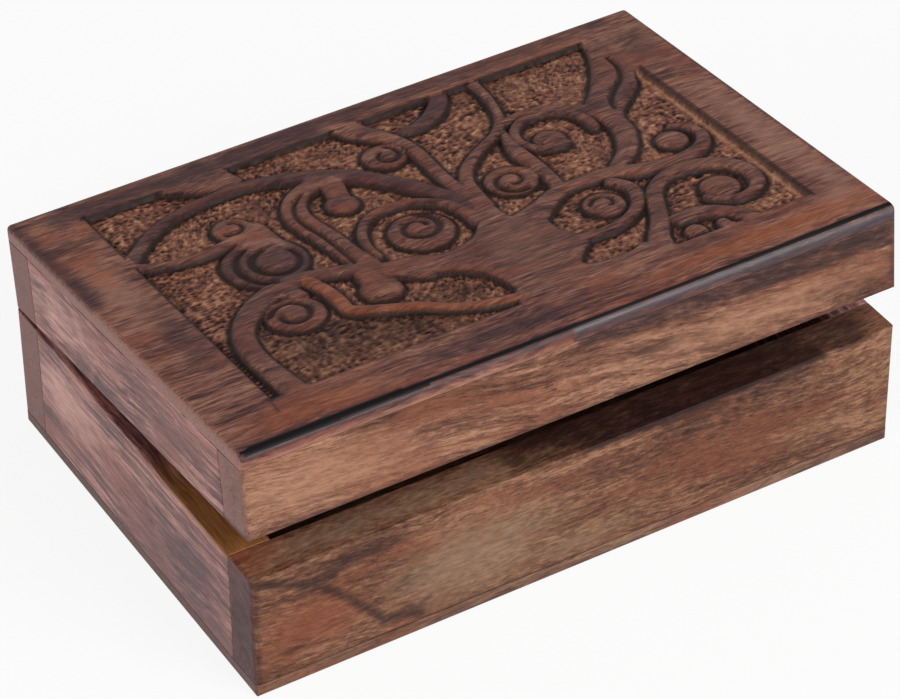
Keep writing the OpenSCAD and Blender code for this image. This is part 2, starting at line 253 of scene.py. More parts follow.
def distance_to_line(u: Array, v: Array, points: tuple[tuple[float, float], ...]) -> Array:
    """Distance from each point to a broken line.

    For each piece of the line, the nearest place on it is the point's projection, held between its ends.

    Args:
        u: First coordinate of each point.
        v: Second coordinate of each point.
        points: The broken line's corners.

    Returns:
        The least of the distances to the line's pieces.
    """
    nearest = np.full(u.shape, FAR)
    for (au, av), (bu, bv) in zip(points, points[1:]):
        length = (bu - au) ** 2 + (bv - av) ** 2
        t = np.clip(((u - au) * (bu - au) + (v - av) * (bv - av)) / length, 0, 1)
        nearest = np.minimum(nearest, np.hypot(u - au - t * (bu - au), v - av - t * (bv - av)))
    return nearest


@dataclass(frozen=True)
class Marks:
    """Marks of one tint on one side of the box."""

    tint: Tint
    side: Side
    shapes: tuple[Spot | Streak, ...]


@dataclass(frozen=True)
class HalfForm:
    """Sanded outer form of the tray or the lid: a box with rounded edges, open at its rim.

    The nose is the lid's front top edge, with its radius at both ends. A mark reaches a skin deep.
    """

    low: tuple[float, float, float]
    high: tuple[float, float, float]
    radius: float
    rim_is_high: bool
    nose_left: float = 0.0
    nose_right: float = 0.0
    nose_growth: float = 1.5
    skin: float = 1.2

    def outside(self, points: Array, side: Side) -> Array:
        """How far each point lies inside the form's face on that side."""
        axis, sign = side.value[2:]
        face = self.high[axis] if sign > 0 else self.low[axis]
        return (face - points[:, axis]) * sign

    def sanded(self, points: Array) -> Array:
        """Rounds the outer edges, as sanding does after the boards are glued up.

        The rim's side isn't rounded. The lid's front top edge is first drawn in to an arc whose radius
        grows from left to right, with the share of the length to the power of the nose's growth.

        Args:
            points: Points of a board, one row each.

        Returns:
            The points on or inside the sanded form.
        """
        made = points.copy()
        if self.nose_right > 0:
            share = (made[:, 0] - self.low[0]) / (self.high[0] - self.low[0])
            r = self.nose_left + (self.nose_right - self.nose_left) * share ** self.nose_growth
            dy = np.minimum(made[:, 1] - (self.low[1] + r), 0)
            dz = np.maximum(made[:, 2] - (self.high[2] - r), 0)
            far = np.hypot(dy, dz)
            shrink = np.where(far > r, r / np.maximum(far, TINY), 1.0)
            made[:, 1] += dy * (shrink - 1)
            made[:, 2] += dz * (shrink - 1)
        low = np.array((*self.low[:2], self.low[2] if self.rim_is_high else -FAR))
        high = np.array((*self.high[:2], FAR if self.rim_is_high else self.high[2]))
        return softened(made, low, high, self.radius)

    def tints(self, points: Array, marks: tuple[Marks, ...]) -> dict[str, Array]:
        """Strength of each tint at each point.

        The marks of a side fade out within the skin of that side, so that they stay on its surface. Where
        marks overlap, the stronger one counts.

        Args:
            points: Points of a board, one row each, before the lid is raised.
            marks: The marks on the board.

        Returns:
            For each tint's name, its strength from 0 to 1.
        """
        made = {tint.value: np.zeros(len(points)) for tint in Tint}
        for group in marks:
            a, b = group.side.value[:2]
            shown = 1 - smoothstep((self.outside(points, group.side) - self.skin / 2) / self.skin)
            for shape in group.shapes:
                strength = shape.at(points[:, a], points[:, b]) * shown
                made[group.tint.value] = np.maximum(made[group.tint.value], strength)
        return {name: np.clip(values, 0, 1) for name, values in made.items()}


@dataclass(frozen=True)
class LidPlace:
    """Where the lid stands ajar: its hinge line, and the angle from shut in radians."""

    hinge_y: float
    hinge_z: float
    angle: float

    @staticmethod
    def from_joint(joint: dict) -> "LidPlace":
        """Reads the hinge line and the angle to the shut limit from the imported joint."""
        _, y, z = joint["pos_m"]
        return LidPlace(y / MM, z / MM, -math.radians(joint["range_deg"][0]))

    def raised(self, points: Array) -> Array:
        """Turns shut points about the hinge line, so that the front goes up.

        Args:
            points: Points of the shut lid, one row each.

        Returns:
            The same points where the lid stands ajar.
        """
        y = points[:, 1] - self.hinge_y
        z = points[:, 2] - self.hinge_z
        c, s = math.cos(self.angle), math.sin(self.angle)
        return np.stack([points[:, 0], y * c + z * s + self.hinge_y, z * c - y * s + self.hinge_z], axis=1)

    def shut_offset(self) -> tuple[float, float, float]:
        """What a turn by the angle about the origin misses of a turn about the hinge line."""
        c, s = math.cos(self.angle), math.sin(self.angle)
        y, z = self.hinge_y, self.hinge_z
        return (0.0, y - (y * c - z * s), z - (y * s + z * c))


# Meshes


def graded(low: float, high: float, step: float, lines: tuple[float, ...] = ()) -> Array:
    """Coordinates from low to high that lie close together near both ends.

    Args:
        low: First coordinate.
        high: Last coordinate.
        step: Greatest distance between two coordinates.
        lines: Further coordinates that have to be there.

    Returns:
        The coordinates in order.
    """
    near = np.array([0, 0.1, 0.2, 0.3, 0.6, 1.0, 1.5, 2.1, 2.8])
    count = max(2, math.ceil((high - low - 2 * near[-1]) / step) + 1)
    inner = np.linspace(low + near[-1], high - near[-1], count)
    return np.unique(np.round(np.concatenate([low + near, inner, high - near, lines]), 5))


def lattice_box(xs: Array, ys: Array, zs: Array) -> tuple[Array, Array]:
    """Closed surface of a box, cut into a lattice of quads that face outwards.

    Each side is a grid over two of the three lists. Corners that are the same place in the lattice are
    welded by a whole number that counts x, y and z together.

    Args:
        xs: Coordinates along X.
        ys: Coordinates along Y.
        zs: Coordinates along Z.

    Returns:
        The points and the quads.
    """
    counts = (len(xs), len(ys), len(zs))
    sides = []
    for axis in range(3):
        a = (axis + 1) % 3
        b = (axis + 2) % 3
        i, j = np.meshgrid(np.arange(counts[a] - 1), np.arange(counts[b] - 1), indexing="ij")
        for end in (0, counts[axis] - 1):
            quad = np.zeros((i.size, 4, 3), int)
            quad[:, :, axis] = end
            quad[:, :, a] = i.reshape(-1, 1) + np.array([0, 1, 1, 0])
            quad[:, :, b] = j.reshape(-1, 1) + np.array([0, 0, 1, 1])
            sides.append(quad if end else quad[:, ::-1])
    corners = np.concatenate(sides).reshape(-1, 3)
    key = (corners[:, 0] * counts[1] + corners[:, 1]) * counts[2] + corners[:, 2]
    _, first, place = np.unique(key, return_index=True, return_inverse=True)
    kept = corners[first]
    return np.stack([xs[kept[:, 0]], ys[kept[:, 1]], zs[kept[:, 2]]], axis=1), place.reshape(-1, 4)


def softened(points: Array, low: Array, high: Array, radius: float) -> Array:
    """Rounds a box's edges by a radius.

    Where a point lies further than the radius from the box shrunk by it, it is drawn in to the radius.

    Args:
        points: Points in or on the box, one row each.
        low: The box's lowest corner.
        high: The box's highest corner.
        radius: Radius of the edges.

    Returns:
        The rounded points.
    """
    core = np.clip(points, low + radius, high - radius)
    away = points - core
    far = np.linalg.norm(away, axis=1, keepdims=True)
    return np.where(far > radius, core + away * radius / np.maximum(far, TINY), points)


def make_piece(name: str, points: Array, faces: list[Array], tints: dict[str, Array]) -> bpy.types.Object:
    """Makes an object at the origin, with its place in its mesh.

    Args:
        name: The object's name.
        points: Points in millimetres, where the piece stands.
        faces: Arrays of faces, each with one number of corners.
        tints: Attributes, one value for each point.

    Returns:
        The new object, in the scene.
    """
    mesh = bpy.data.meshes.new(name)
    mesh.vertices.add(len(points))
    mesh.vertices.foreach_set("co", (points * MM).astype(np.float32).ravel())
    corners = np.concatenate([part.ravel() for part in faces])
    sizes = np.concatenate([np.full(len(part), part.shape[1]) for part in faces])
    mesh.loops.add(len(corners))
    mesh.loops.foreach_set("vertex_index", corners.astype(np.int32))
    mesh.polygons.add(len(sizes))
    mesh.polygons.foreach_set("loop_start", (np.cumsum(sizes) - sizes).astype(np.int32))
    mesh.update(calc_edges=True)
    for attribute, values in tints.items():
        made = mesh.attributes.new(attribute, "FLOAT", "POINT")
        made.data.foreach_set("value", values.astype(np.float32))
    mesh.validate()
    mesh.shade_smooth()
    piece = bpy.data.objects.new(name, mesh)
    bpy.context.scene.collection.objects.link(piece)
    return piece


def weld(piece: bpy.types.Object, near: float = 0.005 * MM, least: float = 0.002 * MM) -> None:
    """Merges points that lie on each other and drops the faces that this leaves without area.

    Args:
        piece: The piece.
        near: Distance within which points are merged.
        least: Length below which an edge counts as nothing.
    """
    mesh = bmesh.new()
    mesh.from_mesh(piece.data)
    bmesh.ops.remove_doubles(mesh, verts=mesh.verts, dist=near)
    bmesh.ops.dissolve_degenerate(mesh, edges=mesh.edges, dist=least)
    mesh.to_mesh(piece.data)
    mesh.free()


def stand_for(piece: bpy.types.Object, node: str, body: str) -> None:
    """Lets a piece stand for a CAD node and ride on its body.

    Args:
        piece: The piece.
        node: The CAD node that it hides.
        body: The body that it rides on.
    """
    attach(piece, body)
    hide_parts(node)
    LOG.info("%s rides on the %s with %d faces", piece.name, body, len(piece.data.polygons))


# Finishes


class Grain(Enum):
    """Order of the axes in which a board's grain is read: along it, across it and through the board."""

    ALONG_X = ("X", "Z", "Y")
    ALONG_Y = ("Y", "Z", "X")
    FLAT_X = ("X", "Y", "Z")


@dataclass(frozen=True)
class Fibre:
    """Noise drawn out along the grain: length and width in millimetres, octaves and their weight."""

    length: float
    width: float
    detail: float
    rough: float = 0.55


@dataclass(frozen=True)
class StainedWood:
    """Stained and waxed mango board, rubbed by hand and scorched in places, with light and shade painted into
    some of its marks.

    It gives the eye broad patches of tan and brick brown, drawn-out streaks, short dark pores along the
    grain, purple-black scorch marks and a soft sheen at a flat angle. The patch, streak and dash weights
    mix the grain's noises, and spread is the width of the range from dark to light. Shift and slope move
    the pattern along the board, in millimetres, and tilt it. The grain drifts sideways in waves, each
    given by its length and its range. The smallest noises are drawn two or three times as coarse as real
    pores, so that they show.
    """

    name: str
    dark: str
    mid: str
    light: str
    grain: Grain
    rosy: str = "#84503c"
    burnt_and_shade: str = "#33201f"
    char_and_deep_shade: str = "#0b0606"
    warm: str = "#8a4a30"
    pale: str = "#9a7c62"
    polish_and_sheen: str = "#40343a"
    end_grain: str = "#6a4845"
    shift: float = 0.0
    slope: float = 0.0
    patch: float = 0.5
    streak: float = 0.6
    dash: float = 0.6
    pores: float = 0.55
    spread: float = 0.16
    roughness: float = 0.5
    wear: float = 0.07
    pit: float = 0.05
    sheen: float = 0.25
    lid: bool = False
    glossy: bool = False
    waves: tuple[tuple[float, float], ...] = ((34, 5.0), (7, 0.8))
    broad: Fibre = Fibre(46, 13, 2)
    hue: Fibre = Fibre(31, 8, 2)
    streaks: Fibre = Fibre(24, 1.7, 3)
    dashes: Fibre = Fibre(5, 0.5, 2, 0.6)
    dots: Fibre = Fibre(5, 0.36, 1)
    fine: Fibre = Fibre(1.3, 0.34, 2, 0.7)
    ragged: Fibre = Fibre(5.5, 1.9, 3, 0.65)

    def material(self, place: LidPlace) -> bpy.types.Material:
        """Builds the board's material.

        Args:
            place: The lid's place, whose turn the pattern of a lid board undoes.

        Returns:
            The material.
        """
        made, tree = empty_material(self.name)
        grain = self.grain_space(tree, place)
        noise = {}
        for kind in ("broad", "hue", "streaks", "dashes", "dots", "fine", "ragged"):
            fibre = getattr(self, kind)
            scale = (1 / fibre.length, 1 / fibre.width, 1 / fibre.width)
            scaled = add(tree, "VectorMath", {0: grain, 1: scale}, operation="MULTIPLY").outputs[0]
            noise[kind] = add(tree, "TexNoise", {
                "Vector": scaled, "Scale": 1.0, "Detail": fibre.detail, "Roughness": fibre.rough,
            }).outputs["Fac"]
        pore = add(tree, "MapRange", {
            0: noise["dots"], 1: 0.45, 2: 0.33, 3: 0.0, 4: self.pores,
        }, **SOFTLY).outputs[0]
        colour = self.colour(tree, noise, pore)

        # Pores are pits of about 0.04 mm among finer fibres
        height = noise["fine"]
        for part, weight in ((noise["dashes"], 0.5), (pore, -0.8)):
            height = add(tree, "Math", {0: part, 1: weight, 2: height}, **SCALE_AND_ADD).outputs[0]
        bump = add(tree, "Bump", {"Strength": 0.35, "Distance": self.pit * MM, "Height": height}).outputs[0]
        rough = add(tree, "MapRange", {
            0: noise["streaks"], 1: 0.3, 2: 0.7, 3: self.roughness - self.wear, 4: self.roughness + self.wear,
        }).outputs[0]
        shine = {"Roughness": rough, "Specular IOR Level": self.sheen}
        if self.glossy:
            # The nose that hands have polished is smoother and reflects more
            gloss = add(tree, "Attribute", attribute_name=Tint.GLOSS.value).outputs["Fac"]
            for name, change in (("Roughness", -0.15), ("Specular IOR Level", 0.32)):
                polish = {0: gloss, 1: change, 2: shine[name]}
                shine[name] = add(tree, "Math", polish, **SCALE_AND_ADD).outputs[0]
        shader = add(tree, "BsdfPrincipled", {"Base Color": colour, "IOR": 1.45, "Normal": bump, **shine})
        # The socket's own number is the plain sheen, also where a link drives it. An
        # export drops a linked specular level and keeps the number on the socket
        shader.inputs["Specular IOR Level"].default_value = self.sheen
        add(tree, "OutputMaterial", {0: shader.outputs[0]})
        return made

    def grain_space(self, tree: Nodes, place: LidPlace) -> Socket:
        """Object coordinates in millimetres, turned back to the shut lid, in the order of the grain.

        The grain wanders sideways by a millimetre or so in each long wave, and less in the short ones.

        Args:
            tree: The material's nodes.
            place: The lid's place.

        Returns:
            Places along the grain, across it and through the board.
        """
        shut = add(tree, "Mapping", {
            "Vector": add(tree, "TexCoord").outputs["Object"],
            "Location": place.shut_offset() if self.lid else (0, 0, 0),
            "Rotation": (place.angle if self.lid else 0, 0, 0),
            "Scale": (1 / MM, 1 / MM, 1 / MM),
        }).outputs[0]
        split = add(tree, "SeparateXYZ", {0: shut})
        along, across, through = (split.outputs[axis] for axis in self.grain.value)
        tilted = add(tree, "Math", {0: along, 1: self.slope, 2: across}, **SCALE_AND_ADD).outputs[0]
        moved = add(tree, "Math", {0: along, 1: self.shift}, operation="ADD").outputs[0]
        straight = add(tree, "CombineXYZ", {0: moved, 1: tilted, 2: through}).outputs[0]
        drift = -self.waves[0][1] / 2
        for length, reach in self.waves:
            wave = add(tree, "TexNoise", {"Vector": straight, "Scale": 1 / length, "Detail": 1.0})
            grown = {0: wave.outputs["Fac"], 1: reach, 2: drift}
            drift = add(tree, "Math", grown, **SCALE_AND_ADD).outputs[0]
        turned = add(tree, "CombineXYZ", {1: drift, 2: drift}).outputs[0]
        return add(tree, "VectorMath", {0: straight, 1: turned}, operation="ADD").outputs[0]

    def colour(self, tree: Nodes, noise: dict[str, Socket], pore: Socket) -> Socket:
        """Colour of the board: the wood, then its marks, with the arguments of body_colour."""
        return self.marked_colour(tree, noise, self.body_colour(tree, noise, pore))

    def body_colour(self, tree: Nodes, noise: dict[str, Socket], pore: Socket) -> Socket:
        """Colour of the unmarked wood: patches, streaks and dashes share one ramp, with redder places.

        End grain, where the surface faces along the board, has drunk more stain and is duller.

        Args:
            tree: The material's nodes.
            noise: The grain's noises by name.
            pore: Share of the dark pores.

        Returns:
            The colour.
        """
        mixed = 0.0
        for kind, weight in (("broad", self.patch), ("streaks", self.streak), ("dashes", self.dash)):
            mixed = add(tree, "Math", {0: noise[kind], 1: weight, 2: mixed}, **SCALE_AND_ADD).outputs[0]
        middle = 0.5 * (self.patch + self.streak + self.dash)
        low, high = middle - self.spread, middle + self.spread
        ranged = add(tree, "MapRange", {0: mixed, 1: low, 2: high}).outputs[0]
        stops = ((0.0, self.dark), (0.5, self.mid), (1.0, self.light))
        body = add(tree, "ValToRGB", {0: ranged}, stops=stops).outputs[0]
        redder = add(tree, "MapRange", {
            0: noise["hue"], 1: 0.46, 2: 0.66, 3: 0.0, 4: 0.6,
        }, **SOFTLY).outputs[0]
        body = add(tree, "Mix", {0: redder, 6: body, 7: linear(self.rosy)}, **COLOURS).outputs[2]

        # Single fibres are up to a fifth darker or paler, and end grain shows where the board is cut across
        speckle = add(tree, "MapRange", {0: noise["fine"], 1: 0.3, 2: 0.7, 3: 0.82, 4: 1.2}).outputs[0]
        body = add(tree, "Mix", {0: 1.0, 6: body, 7: speckle}, **TIMES).outputs[2]
        normal = add(tree, "TexCoord").outputs["Normal"]
        facing = add(tree, "SeparateXYZ", {0: normal}).outputs[self.grain.value[0]]
        facing = add(tree, "Math", {0: facing}, operation="ABSOLUTE").outputs[0]
        ended = add(tree, "MapRange", {0: facing, 1: 0.5, 2: 0.85, 3: 0.0, 4: 0.85}, **SOFTLY).outputs[0]
        body = add(tree, "Mix", {0: ended, 6: body, 7: linear(self.end_grain)}, **COLOURS).outputs[2]
        return add(tree, "Mix", {0: pore, 6: body, 7: linear(self.burnt_and_shade)}, **COLOURS).outputs[2]

    def marked_colour(self, tree: Nodes, noise: dict[str, Socket], body: Socket) -> Socket:
        """Lays the pale, warm, burnt and polished marks over the wood, with edges made ragged by the grain.

        Scorch is purple brown where it is light and black where it is heavy. The burn, pale, warm and
        polished colours also paint shade, light and sheen in places.

        Args:
            tree: The material's nodes.
            noise: The grain's noises by name.
            body: Colour of the unmarked wood.

        Returns:
            The colour with its marks.
        """
        # The dashes go on through the marks, and ragged noise moves a mark's edge in and out
        streaky = add(tree, "MapRange", {0: noise["dashes"], 1: 0.3, 2: 0.7, 3: 0.72, 4: 1.3}).outputs[0]
        worn = add(tree, "Math", {0: noise["ragged"], 1: 0.9, 2: -0.45}, **SCALE_AND_ADD).outputs[0]
        for tint, colour, most in ((Tint.PALE, self.pale, 0.9), (Tint.WARM, self.warm, 0.85),
                                   (Tint.BURN, self.burnt_and_shade, 0.9), (Tint.GLOSS, self.polish_and_sheen, 0.9)):
            kept = add(tree, "Attribute", attribute_name=tint.value).outputs["Fac"]
            edge = add(tree, "Math", {0: worn, 1: kept}, operation="ADD").outputs[0]
            shown = add(tree, "MapRange", {0: edge, 1: 0.1, 2: 0.95, 3: 0.0, 4: most}, **SOFTLY).outputs[0]
            some = add(tree, "MapRange", {0: kept, 1: 0.02, 2: 0.25}).outputs[0]
            share = add(tree, "Math", {0: shown, 1: some}, operation="MULTIPLY").outputs[0]
            lively = add(tree, "Mix", {0: 1.0, 6: linear(colour), 7: streaky}, **TIMES).outputs[2]
            body = add(tree, "Mix", {0: share, 6: body, 7: lively}, **COLOURS).outputs[2]
        # Heavy burn turns black: scorch, and at the rim and the nose's edge partly painted shade
        burn = add(tree, "Attribute", attribute_name=Tint.BURN.value).outputs["Fac"]
        heavy = add(tree, "MapRange", {0: burn, 1: 0.72, 2: 1.0}, **SOFTLY).outputs[0]
        return add(tree, "Mix", {0: heavy, 6: body, 7: linear(self.char_and_deep_shade)}, **COLOURS).outputs[2]


@dataclass(frozen=True)
class CarvedWood(StainedWood):
    """Stained mango that was carved: its ground was cut with a gouge, then stained and rubbed.

    It gives the eye pale fresh ridges, stain gathered in the pits and dark lines along the stems.
    """

    cut: tuple[tuple[float, str], ...] = (
        (0.0, "#bd9070"), (0.28, "#99674f"), (0.6, "#6c4234"), (1.0, "#220f0b"),
    )
    gathered: str = "#1c0e0b"

    def colour(self, tree: Nodes, noise: dict[str, Socket], pore: Socket) -> Socket:
        """Colours the cut ground, over the colour of the board, by how deep and how ragged it is.

        Args:
            tree: The material's nodes.
            noise: The grain's noises by name.
            pore: Share of the dark pores.

        Returns:
            The colour of the carved board.
        """
        body = super().colour(tree, noise, pore)
        ground, pit, stain = (
            add(tree, "Attribute", attribute_name=name).outputs["Fac"]
            for name in ("ground", "pit", "stain")
        )
        rough = add(tree, "Math", {0: noise["fine"], 1: 0.8, 2: pit}, **SCALE_AND_ADD).outputs[0]
        rough = add(tree, "Math", {0: noise["ragged"], 1: 0.5, 2: rough}, **SCALE_AND_ADD).outputs[0]
        depth = add(tree, "MapRange", {0: rough, 1: 0.62, 2: 1.5}).outputs[0]
        cut = add(tree, "ValToRGB", {0: depth}, stops=self.cut).outputs[0]
        share = add(tree, "MapRange", {0: ground, 1: 0.3, 2: 0.75}, **SOFTLY).outputs[0]
        made = add(tree, "Mix", {0: share, 6: body, 7: cut}, **COLOURS).outputs[2]
        most = add(tree, "Math", {0: stain, 1: 0.95}, operation="MULTIPLY").outputs[0]
        return add(tree, "Mix", {0: most, 6: made, 7: linear(self.gathered)}, **COLOURS).outputs[2]


@dataclass(frozen=True)
class DulledMetal:
    """Brass or steel of small fittings, dulled by handling: darker in soft clouds, with rubbing marks.

    A cloud and a mark are measured in millimetres. A real mark is 0.1 mm wide and is drawn at 0.3.
    """

    name: str
    bright: str
    dull: str
    roughness: float = 0.36
    cloud: float = 4.0
    mark: float = 0.3

    def material(self) -> bpy.types.Material:
        """Builds the metal: its colour and roughness follow its clouds and its rubbing marks."""
        made, tree = empty_material(self.name)
        place = add(tree, "TexCoord").outputs["Object"]
        lines = add(tree, "Mapping", {"Vector": place, "Scale": (0.08, 1, 1)}).outputs[0]
        cloud, rubbed = (
            add(tree, "TexNoise", {"Vector": where, "Scale": 1 / (size * MM), "Detail": fine}).outputs["Fac"]
            for where, size, fine in ((place, self.cloud, 3.0), (lines, self.mark, 2.0))
        )
        stops = ((0.25, self.dull), (0.75, self.bright))
        colour = add(tree, "ValToRGB", {0: cloud}, stops=stops).outputs[0]
        rough = add(tree, "MapRange", {
            0: rubbed, 1: 0.2, 2: 0.8, 3: self.roughness - 0.08, 4: self.roughness + 0.12,
        }).outputs[0]
        bump = add(tree, "Bump", {"Strength": 0.3, "Distance": 0.02 * MM, "Height": rubbed}).outputs[0]
        shader = add(tree, "BsdfPrincipled", {
            "Base Color": colour, "Metallic": 1.0, "Roughness": rough, "Normal": bump,
        })
        add(tree, "OutputMaterial", {0: shader.outputs[0]})
        return made


# Camera and studio


@dataclass(frozen=True)
class PhotoCamera:
    """Camera at the photograph's place, in millimetres."""

    place: tuple[float, float, float] = (-344.1, -578.8, 558.2)
    ahead: tuple[float, float, float] = (0.39886, 0.67282, -0.62309)
    roll: float = -0.657
    lens: float = 164.3

    def build(self) -> None:
        """Makes the camera, turns it along its line of sight, rolls it and gives it to the scene."""
        data = bpy.data.cameras.new("photo_camera")
        data.sensor_width = 36.0
        data.lens = self.lens
        data.clip_start = 0.05
        data.clip_end = 20.0
        camera = bpy.data.objects.new("photo_camera", data)
        camera.rotation_mode = "QUATERNION"
        camera.location = Vector(self.place) * MM
        level = Vector(self.ahead).to_track_quat("-Z", "Y")
        camera.rotation_quaternion = level @ Quaternion((0, 0, 1), math.radians(self.roll))
        bpy.context.scene.collection.objects.link(camera)
        bpy.context.scene.camera = camera


@dataclass(frozen=True)
class Softbox:
    """A large soft lamp: where it stands and how wide it is, in metres, and its power in watts."""

    name: str
    place: tuple[float, float, float]
    width: float
    height: float
    power: float

    def build(self) -> None:
        """Makes the lamp and points it at the box."""
        data = bpy.data.lights.new(self.name, "AREA")
        data.shape = "RECTANGLE"
        data.size = self.width
        data.size_y = self.height
        data.energy = self.power
        lamp = bpy.data.objects.new(self.name, data)
        lamp.location = self.place
        lamp.rotation_mode = "QUATERNION"
        lamp.rotation_quaternion = (Vector((0, 0, 0.03)) - Vector(self.place)).to_track_quat("-Z", "Y")
        bpy.context.scene.collection.objects.link(lamp)


@dataclass(frozen=True)
class Studio:
    """A white sweep of paper under soft lamps: bright near the horizon and darker overhead.

    The lift is the share of white that the camera sees in the paper.
    """

    low_light: float = 0.62
    high_light: float = 0.28
    paper: str = "#f4f3f1"
    lift: float = 0.88
    half_floor: float = 4000.0
    lamps: tuple[Softbox, ...] = (
        Softbox("front_softbox", (0.45, -1.15, 1.0), 0.8, 0.6, 15.0),
        Softbox("left_softbox", (-1.3, -0.4, 0.7), 0.7, 0.7, 8.0),
    )

    def build(self) -> None:
        """Makes the surrounding light, the lamps and the floor."""
        bpy.context.scene.view_settings.view_transform = "Standard"
        self.build_surroundings()
        self.build_floor()
        for lamp in self.lamps:
            lamp.build()

    def build_surroundings(self) -> None:
        """Gives the world its light, which falls towards the top, and a white for the camera."""
        world = bpy.data.worlds.new("white_sweep")
        world.use_nodes = True
        tree = world.node_tree
        tree.nodes.clear()
        way = add(tree, "SeparateXYZ", {0: add(tree, "TexCoord").outputs["Generated"]}).outputs["Z"]
        strength = add(tree, "MapRange", {
            0: way, 1: 0.15, 2: 0.75, 3: self.low_light, 4: self.high_light,
        }, interpolation_type="SMOOTHSTEP").outputs[0]
        light = add(tree, "Background", {"Color": linear("#ffffff"), "Strength": strength})
        white = add(tree, "Background", {"Color": linear("#ffffff"), "Strength": 1.0})
        seen = add(tree, "LightPath").outputs["Is Camera Ray"]
        mix = add(tree, "MixShader", {0: seen, 1: light.outputs[0], 2: white.outputs[0]})
        add(tree, "OutputWorld", {0: mix.outputs[0]})
        bpy.context.scene.world = world

    def build_floor(self) -> None:
        """Makes the paper under the box: plain matt paper, lifted to white for the camera and for gloss."""
        points = np.array([[-1, -1, 0], [1, -1, 0], [1, 1, 0], [-1, 1, 0]]) * self.half_floor
        floor = make_piece("paper_floor", points, [np.array([[0, 1, 2, 3]])], {})
        made, tree = empty_material("matt_white_paper")
        paper = add(tree, "BsdfDiffuse", {"Color": linear(self.paper)})
        white = add(tree, "Emission", {"Color": linear("#ffffff"), "Strength": 1.0})
        path = add(tree, "LightPath")
        seen = path.outputs["Is Camera Ray"]
        for ray in ("Is Glossy Ray", "Is Transmission Ray"):
            seen = add(tree, "Math", {0: seen, 1: path.outputs[ray]}, operation="MAXIMUM").outputs[0]
        share = add(tree, "Math", {0: seen, 1: self.lift}, operation="MULTIPLY").outputs[0]
        mix = add(tree, "MixShader", {0: share, 1: paper.outputs[0], 2: white.outputs[0]})
        add(tree, "OutputMaterial", {0: mix.outputs[0]})
        floor.data.materials.append(made)


# Sizes that the boards share, as in the CAD source


@dataclass(frozen=True)
class BoxSizes:
    """Sizes of the whole box and its boards."""

    length: float = 152.4
    width: float = 101.6
    tray_h: float = 30.5
    lid_h: float = 20.0
    rim_gap: float = 0.3
    board_t: float = 9.5
    base_t: float = 3.2
    panel_t: float = 3.4
    edge_r: float = 1.1
    nose_left: float = 2.05
    nose_right: float = 3.6
    joint_r: float = 0.3
    leaf_l: float = 19.0
    leaf_w: float = 6.5
    leaf_t: float = 0.8
    hinge_x: float = 44.2

    @property
    def half_l(self) -> float:
        """Half the box's length."""
        return self.length / 2

    @property
    def half_w(self) -> float:
        """Half the box's width."""
        return self.width / 2

    @property
    def rim_z(self) -> float:
        """Height of the shut lid's rim."""
        return self.tray_h + self.rim_gap

    @property
    def top_z(self) -> float:
        """Height of the shut lid's top."""
        return self.rim_z + self.lid_h

    @property
    def panel_z(self) -> float:
        """Height of the carved board's underside on the shut lid."""
        return self.top_z - self.panel_t

    def tray_form(self) -> HalfForm:
        """Outer form of the tray."""
        x, y = self.half_l, self.half_w
        return HalfForm((-x, -y, 0), (x, y, self.tray_h), self.edge_r, True)

    def lid_form(self) -> HalfForm:
        """Outer form of the shut lid, whose front top edge is rounded more towards the right."""
        x, y = self.half_l, self.half_w
        nose = (self.nose_left, self.nose_right)
        return HalfForm((-x, -y, self.rim_z), (x, y, self.top_z), self.edge_r, False, *nose)


@dataclass
class Board:
    """One butt-jointed board of the tray or the lid.

    A mortised board has beds in its rim for the hinge leaves. The lattice has a pair of lines a hair apart
    on each side of a bed, so that its walls stand upright.
    """

    node: str
    slot: str
    low: tuple[float, float, float]
    high: tuple[float, float, float]
    finish: StainedWood
    marks: tuple[Marks, ...] = ()
    mortised: bool = False
    step: float = 1.1
    hair: float = 0.01

    def build(self, sizes: BoxSizes, place: LidPlace) -> None:
        """Builds the board, sands it with its half of the box, marks it and lays it in its place.

        Args:
            sizes: Sizes of the box.
            place: Where the lid stands ajar.
        """
        on_lid = self.finish.lid
        form = sizes.lid_form() if on_lid else sizes.tray_form()
        beds = [x + s * sizes.leaf_l / 2 for x in (-sizes.hinge_x, sizes.hinge_x) for s in (-1, 1)]
        cuts = (beds, [sizes.half_w - sizes.leaf_w], []) if self.mortised else ([], [], [])
        pairs = [tuple(line + side for line in lines for side in (-self.hair, self.hair)) for lines in cuts]
        points, quads = lattice_box(*(
            graded(low, high, self.step, lines) for low, high, lines in zip(self.low, self.high, pairs)
        ))
        made = form.sanded(softened(points, np.array(self.low), np.array(self.high), sizes.joint_r))
        if self.mortised:
            rim = self.low[2] if on_lid else self.high[2]
            in_bed = self.in_bed(points, rim, sizes)
            made = np.where(in_bed[:, None], points, made)
            if on_lid:
                held = np.maximum(made[:, 2], rim + sizes.leaf_t)
            else:
                held = np.minimum(made[:, 2], rim - sizes.leaf_t)
            made[:, 2] = np.where(in_bed, held, made[:, 2])
        tints = form.tints(points, self.marks)
        piece = make_piece(self.node + "_board", place.raised(made) if on_lid else made, [quads], tints)
        if self.mortised:
            weld(piece)
        piece.data.materials.append(self.finish.material(place))
        stand_for(piece, self.node, "lid" if on_lid else "tray")

    @staticmethod
    def in_bed(points: Array, rim: float, sizes: BoxSizes, reach: float = 4.0) -> Array:
        """Tells which points lie over a hinge leaf's bed, within a reach of the rim."""
        over = np.abs(np.abs(points[:, 0]) - sizes.hinge_x) < sizes.leaf_l / 2
        return over & (np.abs(points[:, 2] - rim) < reach) & (points[:, 1] > sizes.half_w - sizes.leaf_w)


